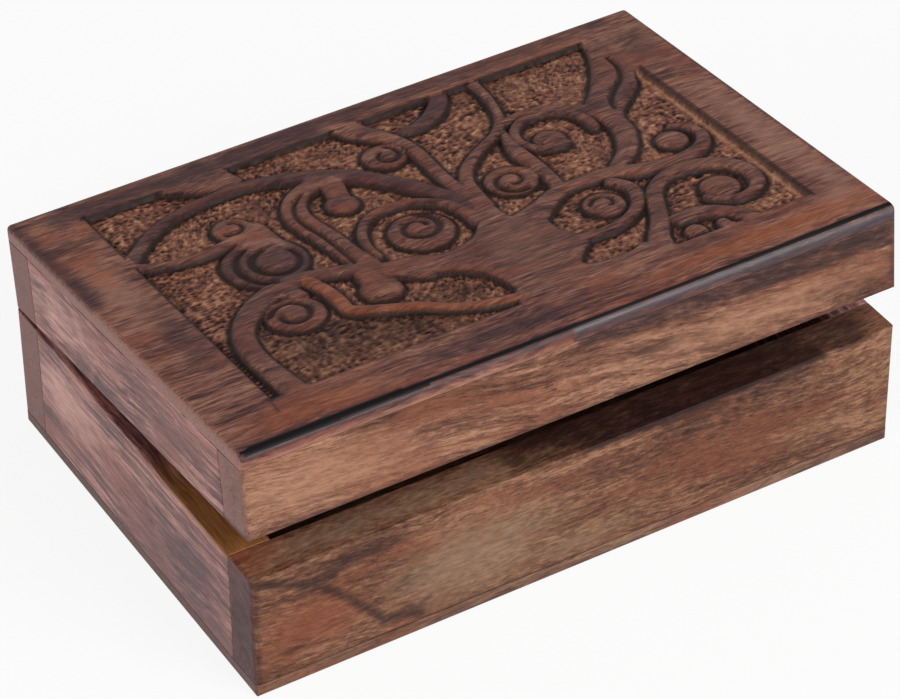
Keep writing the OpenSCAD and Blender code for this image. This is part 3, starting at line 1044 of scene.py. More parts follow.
@dataclass(frozen=True, kw_only=True)
class Form:
    """A raised form of the carving: how round its back is, its own marks, and its share past its edge."""

    crown: float = 0.6
    burn: float = 0.36
    warm: float = 0.0
    past_edge: float = 1.3

    def path(self) -> Array:
        """Gives the form's line: x, y and width, one row for each point."""
        raise NotImplementedError

    def close(self, x: Array, y: Array, reach: float) -> Array:
        """Picks the points that lie within a reach of the box round the form."""
        line = self.path()
        grow = reach + line[:, 2].max() / 2
        inside = (x > line[:, 0].min() - grow) & (x < line[:, 0].max() + grow)
        return (inside & (y > line[:, 1].min() - grow) & (y < line[:, 1].max() + grow)).nonzero()[0]

    def measure(self, x: Array, y: Array) -> tuple[Array, Array]:
        """Measures points against the form.

        The signed distance is the least distance to a point of the line, less half the width there.

        Args:
            x: Places along the front.
            y: Places from front to back.

        Returns:
            The signed distance, negative on the form, and the share of the way from its line to its edge,
            which goes on to its most past the edge.
        """
        line = self.path()
        gap = np.hypot(x[:, None] - line[None, :, 0], y[:, None] - line[None, :, 1]) - line[None, :, 2] / 2
        best = gap.argmin(axis=1)
        gap = gap[np.arange(len(x)), best]
        return gap, np.clip(1 + gap / (line[best, 2] / 2), 0, self.past_edge)


def curve(a: Array, b: Array, c: Array, d: Array, steps: int) -> Array:
    """Samples the smooth curves that run from each b to its c, with a and d as their outer neighbours.

    It is half of 2 b + t (c - a) + t^2 (2 a - 5 b + 4 c - d) + t^3 (3 b - a - 3 c + d).

    Args:
        a: Points before each b, one row each.
        b: Points at which the curves start.
        c: Points at which they end.
        d: Points after each c.
        steps: Samples on each curve, without its end.

    Returns:
        The samples, curve after curve.
    """
    a, b, c, d = (part[:, None, :] for part in (a, b, c, d))
    t = (np.arange(steps) / steps)[None, :, None]
    made = 2 * b + t * (c - a) + t ** 2 * (2 * a - 5 * b + 4 * c - d) + t ** 3 * (3 * b - a - 3 * c + d)
    return 0.5 * made.reshape(-1, b.shape[-1])


@dataclass(frozen=True)
class Stem(Form):
    """A carved stem along points of x, y and width."""

    points: tuple[tuple[float, float, float], ...]

    def path(self) -> Array:
        """Samples the smooth curve through the points."""
        p = np.array(self.points)
        padded = np.concatenate([p[:1], p, p[-1:]])
        return np.concatenate([curve(*(padded[k:len(p) - 1 + k] for k in range(4)), steps=24), p[-1:]])


@dataclass(frozen=True)
class Scroll(Form):
    """A carved spiral: centre, outer and inner radius, start angle, turn, and width at both ends."""

    x: float
    y: float
    r_out: float
    r_in: float
    start: float
    turn: float
    w_start: float
    w_end: float

    def path(self) -> Array:
        """Samples the spiral: its radius and width change evenly as the angle turns."""
        t = np.linspace(0, 1, 240)
        r = self.r_out + (self.r_in - self.r_out) * t
        a = np.radians(self.start + self.turn * t)
        w = self.w_start + (self.w_end - self.w_start) * t
        return np.stack([self.x + r * np.cos(a), self.y + r * np.sin(a), w], axis=1)


@dataclass(frozen=True)
class Boss(Form):
    """A carved round boss: a line of one point, as wide as the boss."""

    x: float
    y: float
    r: float
    crown: float = field(default=0.85, kw_only=True)

    def path(self) -> Array:
        """Gives the boss's middle and width."""
        return np.array([[self.x, self.y, 2 * self.r]])


@dataclass(frozen=True)
class Plate(Form):
    """A flat carved part with a closed, smooth outline through points of x and y."""

    points: tuple[tuple[float, float], ...]
    crown: float = field(default=0.3, kw_only=True)
    rounding: float = field(default=2.5, kw_only=True)

    def path(self) -> Array:
        """Samples the closed curve through the points, without width."""
        p = np.array(self.points)
        line = curve(*(np.roll(p, shift, axis=0) for shift in (1, 0, -1, -2)), steps=8)
        return np.concatenate([line, np.zeros((len(line), 1))], axis=1)

    def measure(self, x: Array, y: Array) -> tuple[Array, Array]:
        """Measures points against the outline.

        A point is inside where a ray along X crosses the outline an odd number of times. The back is
        level up to its rounding, which runs along the edge.

        Args:
            x: Places along the front.
            y: Places from front to back.

        Returns:
            The signed distance, negative inside, and a share that rises to 1 at the edge.
        """
        line = self.path()[:, :2]
        after = np.roll(line, -1, axis=0)
        away = distance_to_line(x, y, tuple(map(tuple, np.concatenate([line, line[:1]]))))
        rise = np.where(after[:, 1] == line[:, 1], TINY, after[:, 1] - line[:, 1])
        slope = ((after[:, 0] - line[:, 0]) / rise)[None]
        cross = line[None, :, 0] + (y[:, None] - line[None, :, 1]) * slope
        spans = (line[None, :, 1] > y[:, None]) != (after[None, :, 1] > y[:, None])
        inside = (spans & (x[:, None] < cross)).sum(axis=1) % 2 == 1
        gap = np.where(inside, -away, away)
        return gap, np.clip(1 + gap / self.rounding, 0, self.past_edge)


@dataclass
class CarvedPanel:
    """The lid's top board, with scrolling branches in shallow relief on a ground cut with a gouge.

    Its mesh is a grid with a fine cell in the field, which takes in a margin round it, and a wide cell on
    the borders. A form's back sinks no further than the lowest back, and is still drawn an overlap past
    its edge, inside the wall.
    """

    sizes: BoxSizes
    finish: StainedWood
    marks: tuple[Marks, ...]
    field_low: tuple[float, float] = (-61.7, -37.0)
    field_high: tuple[float, float] = (64.3, 43.3)
    depth: float = 1.3
    pit_depth: float = 0.42
    groove_depth: float = 0.75
    lowest_back: float = 1.0
    overlap: float = 0.4
    cell: float = 0.39
    wide_cell: float = 1.1
    field_margin: float = 1.2
    # Spots where the ground is darker
    darker_ground_spots: tuple[Spot, ...] = (
        Spot(-30, -28, 26, 9, 0.7), Spot(-45, -18, 9, 10, 0.35), Spot(38, 40, 18, 6, 0.3),
        Spot(0, 40, 9, 5, 0.25), Spot(22, -22, 9, 9, 0.2), Spot(-30, 26, 12, 5, 0.3),
        Spot(40, -34, 9, 4, 0.3),
    )
    plates: tuple[Plate, ...] = (
        # Trunk, with the forks that leave it
        Plate(((-3.2, -41), (-3.2, -31), (-4, -26.5), (-5.8, -22.5), (-9, -19.3), (-14, -17), (-19, -14.6),
            (-22, -11.5), (-18, -8), (-13, -10), (-7, -11.6), (-1, -10.4), (2.8, -7), (4.6, -2), (5.6, 3),
            (9.6, 3), (10, -3), (11, -9.5), (15, -7.5), (17.6, -10), (16, -13.5), (16.2, -18), (18, -21.5),
            (18.6, -25.2), (16, -27.6), (13.2, -31.2), (16, -33), (23, -33.2), (27, -32), (30, -36),
            (30, -41)), crown=0.25),
        # Stub on the back border
        Plate(((-46, 45.5), (-43.6, 42.2), (-40, 40), (-36, 37.4), (-31, 36.6), (-27.4, 37.4), (-28, 41),
            (-30.5, 45.5)), crown=0.35),
        # Leaf in the far right corner
        Plate(((46, 17), (46.3, 20.6), (50, 24.8), (54, 30.3), (57.4, 36.4), (59.3, 42), (59.6, 46.5),
            (66, 46.5), (66, 27.5), (63.4, 26.6), (60.6, 21.6), (56.4, 17.6), (52.6, 14.6), (50.6, 11.5),
            (48, 11)), crown=0.6, burn=0.42),
    )
    stems: tuple[Form, ...] = (
        # Upper left arch and the leaf below its end
        Stem(((5.5, 0, 4.4), (4.4, 6, 4.4), (1, 13, 4.6), (-3.5, 20, 4.8), (-8.5, 25.8, 5.2),
            (-14, 29.8, 5.2), (-20, 33, 4.4), (-26, 34.9, 3.8), (-32, 35.5, 3.4), (-40, 34.9, 3.2),
            (-47, 33, 3), (-53, 30, 3.2), (-58, 26, 3.4), (-62.8, 21.5, 4)), burn=0.66),
        Stem(((-62.8, 21.5, 3), (-58, 18.6, 2.6), (-53, 17.2, 2.6), (-48, 16.7, 2.8), (-43, 17.4, 3.2),
            (-38, 18.4, 4))),
        # Upright stem left of the middle, and the neck of the boss beside it
        Stem(((-22.5, -6, 6), (-23.4, 0, 5.8), (-24, 7, 6), (-25, 13, 6.2), (-25.2, 18, 6),
            (-23.6, 22.5, 5.6), (-20, 26, 5), (-14, 28.2, 5)), crown=0.5, burn=0.38),
        Stem(((-12.5, 28, 6), (-14.2, 20.5, 5))),
        # Long branch to the left and the arch that falls from it
        Stem(((-14, -13, 9), (-20.5, -9.6, 5.6), (-25, -6.4, 4.6), (-30, -4, 4.2), (-36, -2.8, 4.6),
            (-43, -3.6, 5.6), (-50, -7.4, 5.4), (-54.8, -13, 5), (-56.8, -20, 5.2), (-56.8, -28, 5.4),
            (-56, -39, 6.5)), burn=0.5),
        Stem(((-35.5, -4, 4), (-34, -9, 3.6), (-33.6, -14, 3.6), (-33.4, -18.5, 3.6), (-28, -22, 3.6),
            (-22, -25, 3.2), (-17, -29, 3), (-12, -31.8, 3), (-6, -33.6, 3.2), (2, -36, 5)),
            burn=0.1, warm=0.5),
        Stem(((-24, -8, 6), (-24.4, -12, 6))),
        Stem(((-41, -4, 6), (-39.5, -8, 4.5))),
        Stem(((-36.6, 12, 10), (-36, 19, 8))),
        # Ring round the large scroll
        Stem(((4.6, -5, 4.6), (3.8, 0, 3.4), (1.8, 5, 2.8), (-2.5, 8.8, 2.6), (-8, 10.3, 2.4),
            (-13.5, 9, 2.4), (-17.3, 5.2, 2.4), (-19, 0, 2.2), (-19, -5, 2)), crown=0.5),
        # Thin upright branch in the middle, and the crescent beside it
        Stem(((7.6, 2, 4.4), (7.2, 10, 3.6), (7.3, 17, 3.4), (7.8, 25, 3.6), (7.2, 31, 3.8), (4.6, 36, 5),
            (1.4, 41, 6.5), (0, 46, 8))),
        Stem(((8.5, 34.8, 1.6), (12, 34.6, 3), (16, 35.7, 4.2), (19.5, 38, 4.6), (22.2, 41.2, 4.6),
            (23.8, 46, 5)), burn=0.71),
        # Branch to the upper right, its fork and the arch that closes on the right
        Stem(((8.6, -1, 4), (9.4, 4, 3.4), (10.2, 9, 3.4), (12.7, 13.5, 3.2), (16.6, 17, 2.8),
            (21, 19.8, 2.6), (25.3, 22.3, 2.8), (28.6, 26.3, 2.6), (30.4, 31, 2.3), (31.6, 37, 2.6),
            (32, 46, 3.6))),
        Stem(((29, 25, 2.4), (33, 25.8, 2.6), (38, 25, 3), (42.5, 22.2, 3.6), (47.4, 17, 5),
            (48.2, 9.5, 5.4), (46.6, 4.6, 5.2), (43.8, 0, 4.6), (39.5, -3.4, 3.8))),
        Stem(((26.6, 21.4, 1.8), (25.4, 17, 3), (25, 12, 4.4), (25.4, 6, 3.8), (25.2, 0, 3.4),
            (24.5, -5, 4))),
        # Band to the right, which closes round a boss
        Stem(((11, -12, 9), (17.5, -8.4, 5.6), (23.5, -5.2, 4.4), (30, -4.6, 3.8), (36, -5, 4.6),
            (41, -7.4, 5), (46.5, -8.8, 4.2), (52, -9.2, 4.4), (57.3, -7.6, 4), (60.2, -3.6, 3),
            (59.6, 0.4, 2.8), (56.5, 2.6, 2.2))),
        # Sweep round the lower right scroll
        Stem(((34.5, -8.5, 3.4), (36.6, -12.4, 3.4), (35.6, -16.6, 3.2), (32.6, -20.4, 3), (28, -22.8, 3),
            (22, -23.6, 3.2), (14, -23, 5))),
        # Stem from the front border that curls into the last scroll
        Stem(((27.5, -40, 8), (30.6, -32.4, 5), (34.3, -27, 4.4), (37, -21.6, 4), (39.8, -16.6, 3.8),
            (44, -13.4, 3.8), (49.5, -12.6, 4.4), (55, -14.2, 4.6), (59, -18.3, 4.6), (59.8, -23.4, 4.2),
            (57.8, -27.4, 3.4), (53.6, -29, 2.8), (49.4, -27.8, 2.4), (46.8, -25, 1.6))),
        # Lobes at the front right
        Stem(((37.8, -28.4, 4), (42, -28.6, 4.6), (46.3, -31, 4.8), (49.2, -34.4, 4.4), (50.4, -39, 4.4))),
        Stem(((44.6, -39, 4), (44.4, -35, 3.2))),
        Scroll(34.5, 15.8, 9.6, 5.6, -20, 300, 3, 2.2),
    )
    bosses: tuple[Boss, ...] = (
        Boss(-43, -13.2, 6.4, burn=0.42),
        Boss(-38.9, 7, 9.2, burn=0.68),
        Boss(-38.3, 22.2, 4.4),
        Boss(-24.5, -15.4, 4.6),
        Boss(-15, 17.3, 3.8, burn=0.45),
        Boss(-7, -1.4, 7.2),
        Boss(1.5, 28.6, 5),
        Boss(33.4, 13.8, 3.7),
        Boss(18.2, 4.6, 5.9),
        Boss(54, -1.5, 3.7),
        Boss(28.7, -14.7, 4.7),
        Boss(51.8, -22.8, 4.4),
        Boss(38.3, -34.3, 2.6),
    )
    grooves: tuple[Form, ...] = (
        Stem(((-40, 13.6, 0.8), (-43.6, 11, 1.2), (-45, 6.6, 1.3), (-43.8, 2.2, 1.2), (-40.6, -1, 0.8))),
        Stem(((-24.2, -4, 0.6), (-24.3, 3, 0.8), (-24.7, 9, 0.8), (-25.5, 13.5, 0.8), (-25.5, 18, 0.8),
            (-23.9, 22, 0.8), (-20.5, 25.2, 0.6))),
        Stem(((61.2, 35, 0.4), (60.9, 30.2, 0.8), (58.9, 26, 1.1), (55, 22.4, 1.1), (52, 19, 0.9),
            (51, 15.8, 0.4))),
        Scroll(-43.6, -13, 4.6, 2.6, 150, -330, 1.5, 0.9),
        Scroll(-36.8, 6.3, 5, 4.9, 100, 290, 1.7, 1.1),
        Scroll(-38.2, 22.4, 2.7, 1.6, 215, 230, 0.9, 0.7),
        Scroll(-7, 0, 5, 2, 60, -420, 1.6, 0.9),
        Scroll(1.8, 28.4, 3.4, 1.4, 60, -300, 1.1, 0.7),
        Scroll(18.2, 4.4, 4.2, 1.6, -70, -400, 1.2, 0.7),
        Scroll(28.8, -14.6, 2.9, 1.6, 160, -220, 0.9, 0.7),
    )

    def build(self, place: LidPlace) -> None:
        """Builds the board as one closed skin: carved top, sanded sides and flat underside.

        Args:
            place: Where the lid stands ajar.
        """
        sizes = self.sizes
        xs = self.lines(-sizes.half_l, self.field_low[0], self.field_high[0], sizes.half_l)
        ys = self.lines(-sizes.half_w, self.field_low[1], self.field_high[1], sizes.half_w)
        x, y = (part.ravel() for part in np.meshgrid(xs, ys, indexing="ij"))
        cut = self.cut(x, y)
        form = sizes.lid_form()
        top = np.stack([x, y, sizes.top_z + cut.pop("z")], axis=1)
        flat = np.stack([x, y, np.full(x.shape, sizes.top_z)], axis=1)
        tints = form.tints(flat, self.marks)
        kept = 1 - cut["ground"]
        for name in ("burn", "warm", "pale"):
            tints[name] = np.maximum(tints[name], cut.pop(name)) * kept
        tints.update(cut)

        # Under the top come levels of the sanded side, a ring inside them and the middle of the underside
        ring = self.outline(len(xs), len(ys))
        near = sizes.panel_t - np.array([0.3, 0.1, 0])
        drops = np.concatenate([[0.3, 0.7, 1.2, 1.8, 2.5], near])
        skirt = np.concatenate([flat[ring] - np.array([0, 0, drop]) for drop in drops])
        inner = flat[ring] * np.array([0.93, 0.9, 1]) - np.array([0, 0, sizes.panel_t])
        centre = np.array([[0, 0, sizes.panel_z]])
        points = np.concatenate([top, skirt, inner, centre])
        low = np.array([-sizes.half_l, -sizes.half_w, sizes.panel_z])
        high = np.array([sizes.half_l, sizes.half_w, FAR])
        shaped = form.sanded(points)
        outer = slice(len(top), len(top) + len(skirt))
        shaped[outer] = form.sanded(softened(points[outer], low, high, sizes.joint_r))

        n = len(ring)
        quads = [self.grid_quads(len(xs), len(ys))]
        upper = ring
        for level in range(len(drops) + 1):
            lower = len(top) + level * n + np.arange(n)
            quads.append(np.stack([upper, lower, np.roll(lower, -1), np.roll(upper, -1)], axis=1))
            upper = lower
        fan = np.stack([upper, np.full(n, len(points) - 1), np.roll(upper, -1)], axis=1)
        sides = form.tints(skirt, self.marks)
        rest = len(inner) + len(centre)
        for name, values in tints.items():
            tints[name] = np.concatenate([values, sides.get(name, np.zeros(len(skirt))), np.zeros(rest)])

        piece = make_piece("carved_panel", place.raised(shaped), [np.concatenate(quads), fan], tints)
        piece.data.materials.append(self.finish.material(place))
        stand_for(piece, "lid_panel", "lid")

    def lines(self, low: float, field_low: float, field_high: float, high: float) -> Array:
        """Coordinates across the board: close in the field, wide on the borders, close at the edges.

        Args:
            low: The board's first edge.
            field_low: The field's first edge.
            field_high: The field's last edge.
            high: The board's last edge.

        Returns:
            The coordinates in order.
        """
        near = np.array([0, 0.3, 0.6, 1.0, 1.4, 1.8, 2.3, 3.0, 4.0])
        first, last = field_low - self.field_margin, field_high + self.field_margin
        parts = [low + near, np.linspace(first, last, math.ceil((last - first) / self.cell)), high - near]
        for start, end in ((low + near[-1], first), (last, high - near[-1])):
            parts.append(np.linspace(start, end, math.ceil((end - start) / self.wide_cell) + 1))
        return np.unique(np.round(np.concatenate(parts), 4))

    @staticmethod
    def grid_quads(nx: int, ny: int) -> Array:
        """Quads of a grid whose points are counted along Y first, facing up."""
        place = np.arange(nx * ny).reshape(nx, ny)
        corners = (place[:-1, :-1], place[1:, :-1], place[1:, 1:], place[:-1, 1:])
        return np.stack(corners, axis=-1).reshape(-1, 4)

    @staticmethod
    def outline(nx: int, ny: int) -> Array:
        """Points round the grid's rim, counter-clockwise from above."""
        place = np.arange(nx * ny).reshape(nx, ny)
        return np.concatenate([place[:-1, 0], place[-1, :-1], place[:0:-1, -1], place[0, :0:-1]])

    def cut(self, x: Array, y: Array) -> dict[str, Array]:
        """Works out the carving at points of the top.

        The raised part is where the least of the forms' signed distances, or the distance into the
        border, is negative. The wall falls from it by a smoothstep, a form's back sinks with the cube of
        the share of the way to its edge, and a groove's section is e to minus the square of the distance
        from it.

        Args:
            x: Places along the front.
            y: Places from front to back.

        Returns:
            The height below the top and the carving's marks.
        """
        (left, front), (right, rear) = self.field_low, self.field_high
        sides = (x - left, y - front, right - x, rear - y)
        inside = np.minimum.reduce(sides)
        near = inside.copy()
        back = np.where(inside < self.overlap, 0.0, -FAR)
        made = {"burn": np.zeros(x.shape), "warm": np.zeros(x.shape)}

        # A form is measured within 3 mm of it, and a groove within 2 mm, beyond which neither changes much
        for form in (*self.plates, *self.stems, *self.bosses):
            close = form.close(x, y, 3)
            gap, share = form.measure(x[close], y[close])
            over = -form.crown * share ** 3
            higher = (gap < self.overlap) & (over > back[close])
            for tint, strength in (("burn", form.burn), ("warm", form.warm)):
                made[tint][close] = np.where(higher & (gap < 0.3), strength, made[tint][close])
            back[close] = np.where(higher, over, back[close])
            near[close] = np.minimum(near[close], gap)
        furrow = np.zeros(x.shape)
        for groove in self.grooves:
            close = groove.close(x, y, 2)
            gap = groove.measure(x[close], y[close])[0]
            furrow[close] = np.maximum(furrow[close], swell(np.maximum(gap, -0.3), -0.3, 0.6))

        # The ground lies deeper in a moat by the wall, and is smoother along the right border
        wall = smoothstep((near + 0.2) / 0.7)
        lip = 0.8 * swell(sides[2], 0.9, 0.8) * (sides[1] > 0)
        pit = self.pits(x, y) * (1 - lip)
        ground = -(self.depth - 0.15 + 0.2 * swell(near, 0.8, 0.7) + self.pit_depth * (pit - 0.5))
        top = np.where(near < self.overlap, np.maximum(back, -self.lowest_back), -0.7)
        top = top - self.groove_depth * furrow * (1 - wall)

        # Stain gathers at the foot of the wall, in grooves and along the left, front, right and back borders,
        # the ground is darker in places, and the flat tops are paler, rubbed and partly a painted highlight
        foot = np.minimum(1.35 * swell(near, 0.3, 0.62), 1) * (1 - lip)
        border = sum(weight * swell(side, place, 0.55) for side, place, weight in zip(
            sides, (0.1, 0.1, -0.6, 0.1), (0.9, 0.2, 0.8, 1.0)))
        stain = np.maximum.reduce((foot, 0.9 * furrow, border * (near > -0.9)))
        stain = stain * (inside > -self.field_margin)
        ground_darkening = sum(spot.at(x, y) for spot in self.darker_ground_spots) * smoothstep((near - 0.2) / 0.8)
        # Paler tops of the forms: rubbing, and partly a painted highlight on their crests
        rubbed = smoothstep(-(near + 0.6) / 1.2) * (inside > 0.5) * (1 - furrow)
        made.update({
            "z": (1 - wall) * top + wall * ground,
            "ground": wall,
            "pit": pit,
            "stain": np.clip(np.maximum(stain, np.minimum(ground_darkening, 0.6)), 0, 1),
            "pale": 0.2 * rubbed,
        })
        return made

    def pits(self, x: Array, y: Array) -> Array:
        """Depth of the gouged ground, from 0 on a ridge to 1 in a pit.

        Strokes of a gouge, one in each 1.2 by 0.75 mm, lie at 60 degrees to the front in some places, and
        along it, one in each 1.5 by 0.75 mm, in others. Low hills of 0.8 mm lie between them. Next to the
        left border, towards the front, the strokes form a comb with a pitch of 1.3 mm.

        Args:
            x: Places along the front.
            y: Places from front to back.

        Returns:
            The depth at each point.
        """
        c, s = math.cos(math.radians(60)), math.sin(math.radians(60))
        wave = value_noise(x / 7, y / 7, 11)
        share = smoothstep((value_noise(x / 11, y / 9, 23) - 0.35) / 0.3) * smoothstep((x + 56) / 5)
        strokes = (
            (share, punch_marks((x * c + y * s) / 1.2 + wave, (y * c - x * s) / 0.75 + wave * 2, 5)),
            (1 - share, punch_marks(x / 1.5 + wave * 2, y / 0.75 + wave, 7)),
        )
        struck = sum(
            part * (0.4 + 0.6 * power) * smoothstep(1.2 - 1.3 * away) for part, (away, power) in strokes
        )
        tooth = 0.5 + 0.5 * np.cos(2 * math.pi * y / 1.3)
        comb = tooth ** 1.5 * swell(x, -60.8, 1.3) * smoothstep((-10 - y) / 3)
        soft = value_noise(x / 0.8, y / 0.9, 17)
        calm = value_noise(x / 6, y / 6, 29)
        return np.clip((0.55 + 0.45 * calm) * struck + 0.45 * (soft - 0.35) + comb, 0, 1)


@dataclass
class Fittings:
    """The CAD's hinge leaves, pins, screws and brads, in dulled metal."""

    finishes: dict[str, DulledMetal] = field(default_factory=lambda: {
        # Rolled sheet, the brownest of the brass
        "leaf": DulledMetal("tarnished_brass_leaf", "#a9884e", "#6f5429"),
        # Drawn wire and turned heads, smoother and brighter
        "pin": DulledMetal("drawn_brass_pin", "#b08f55", "#7a5f30", 0.28),
        "screws": DulledMetal("turned_brass_screw", "#b4935a", "#80653a", 0.3),
        # Grey wire nails
        "brads": DulledMetal("drawn_steel_brad", "#8f8c86", "#5d5852", 0.42),
    })

    def dress(self, nodes: dict[str, bpy.types.Object]) -> None:
        """Gives each metal node the finish of the last word in its name.

        Args:
            nodes: The CAD nodes by name.
        """
        made = {kind: finish.material() for kind, finish in self.finishes.items()}
        for name, node in nodes.items():
            finish = made.get(name.rsplit("_", 1)[-1])
            if finish:
                dress_node(node, finish)


def dress_node(node: bpy.types.Object, finish: bpy.types.Material) -> None:
    """Puts a finish on a CAD node through its object's material slots, so that its mesh stays as it is."""
    if not node.material_slots:
        node.data.materials.append(finish)
    for slot in node.material_slots:
        slot.link = "OBJECT"
        slot.material = finish
    LOG.info("%s wears %s", node.name, finish.name)


# Marks of the boards, as far as the photograph shows them

TRAY_FRONT_MARKS = (
    Marks(Tint.BURN, Side.FRONT, (
        # Dark line that slants down from the top left, and flecks at its end
        Streak((
            (-76, 29.5), (-65.6, 25.6), (-59.5, 21.2), (-54, 15.7), (-48, 8.5), (-38.7, 5),
        ), 1.5, 0.72, 0.7),
        Streak(((-47, 7.4), (-41, 7.8)), 1.6, 0.68),
        Streak(((-45, 5.4), (-36, 8.5)), 0.8, 0.6),
        # Scorched places under the rim and on the face
        Spot(-50, 27, 12, 2.8, 0.72),
        Spot(-61.5, 24.5, 7, 3, 0.7),
        Spot(-66.5, 9, 4.5, 1.2, 0.7),
        Spot(47.5, 27.5, 14, 3.2, 0.66),
        Spot(20, 21, 16, 4, 0.3),
        Spot(30, 12, 12, 2, 0.3),
        # Left edge and the seam above the base
        Streak(((-75.6, 28), (-75.4, 3)), 1.3, 0.55),
        Streak(((-76, 3.3), (76, 3.3)), 0.35, 0.7),
    )),
    Marks(Tint.WARM, Side.FRONT, (Spot(-63, 14, 13, 8, 0.9), Spot(-40, 24, 10, 3, 0.5))),
    Marks(Tint.PALE, Side.FRONT, (
        Spot(-26, 14, 22, 11, 0.85), Spot(-2, 7, 22, 5, 0.6), Spot(60, 10, 16, 6, 0.3),
    )),
    Marks(Tint.BURN, Side.LEFT, (Spot(-46, 15, 9, 24, 0.6),)),
    # Dark rim: stain, with the lid's shadow painted over it, near black in the middle
    Marks(Tint.BURN, Side.TOP, (
        *(Streak(line, 2.1, 6, 0.8) for line in (
            ((3, -49.5), (56, -49.5)), ((-2, -45.8), (54, -45.8)), ((-8, -42), (52, -42)))),
        Streak(((-12, -45), (66, -46.5)), 6, 0.95, 0.68),
    )),
    # Painted light on the rim's left part, which the lid leaves lit: warm at the corner and pale along it
    Marks(Tint.WARM, Side.TOP, (Spot(-72, -44, 8, 6, 0.7),)),
    Marks(Tint.PALE, Side.TOP, (Streak(((-70, -46), (-18, -46)), 5, 0.6),)),
)
TRAY_LEFT_MARKS = (
    # A small knot, and the face darker in patches, most over its front half and along the bottom
    Marks(Tint.BURN, Side.LEFT, (
        Spot(-8, 15, 1.8, 1.0, 0.9), Spot(-24, 12, 32, 16, 0.64), Spot(-14, 24, 18, 3, 0.5),
        Spot(0, 4, 40, 2.5, 0.45), Spot(38, 9, 12, 5, 0.35),
    )),
    Marks(Tint.PALE, Side.LEFT, (Spot(30, 20, 18, 8, 0.85),)),
    # Painted light: the end's rim, lit orange in the gap under the lid
    Marks(Tint.WARM, Side.TOP, (Spot(-71, -34, 12, 26, 1.0),)),
)
LID_FRONT_MARKS = (
    # Scorch along the top edge, and the dark right edge
    Marks(Tint.BURN, Side.FRONT, (
        Streak(((2, 48.4), (20, 47.2), (40, 46.2), (76, 45.2)), 2.4, 2.4, 0.71),
        Spot(15, 38, 9, 2.4, 0.45),
        Streak(((75.5, 46), (75.5, 33)), 1.8, 0.6),
    )),
    Marks(Tint.PALE, Side.FRONT, (
        Spot(-60, 39, 24, 8, 0.7), Spot(42, 37, 34, 5, 0.72), Spot(14, 42, 14, 3, 0.4),
    )),
    # Polished nose; its grey-purple colour is partly painted sheen
    Marks(Tint.GLOSS, Side.FRONT, (Streak(((30, 49.8), (76, 49)), 1.4, 0.7),)),
    Marks(Tint.BURN, Side.LEFT, (Spot(-48, 40, 7, 14, 0.35),)),
    # Painted shade on the underside of the front wall, over the gap
    Marks(Tint.BURN, Side.UNDER, (Streak(((-76, -46), (76, -46)), 8, 0.7),)),
)
LID_LEFT_MARKS = (
    # A small knot, and the face darker round it and over its front part
    Marks(Tint.BURN, Side.LEFT, (
        Spot(-5, 40.5, 1.6, 1.0, 0.95), Spot(-5, 42, 8, 4, 0.5), Spot(-26, 37, 24, 6, 0.44),
    )),
    Marks(Tint.PALE, Side.LEFT, (Spot(28, 40, 20, 7, 0.6),)),
)
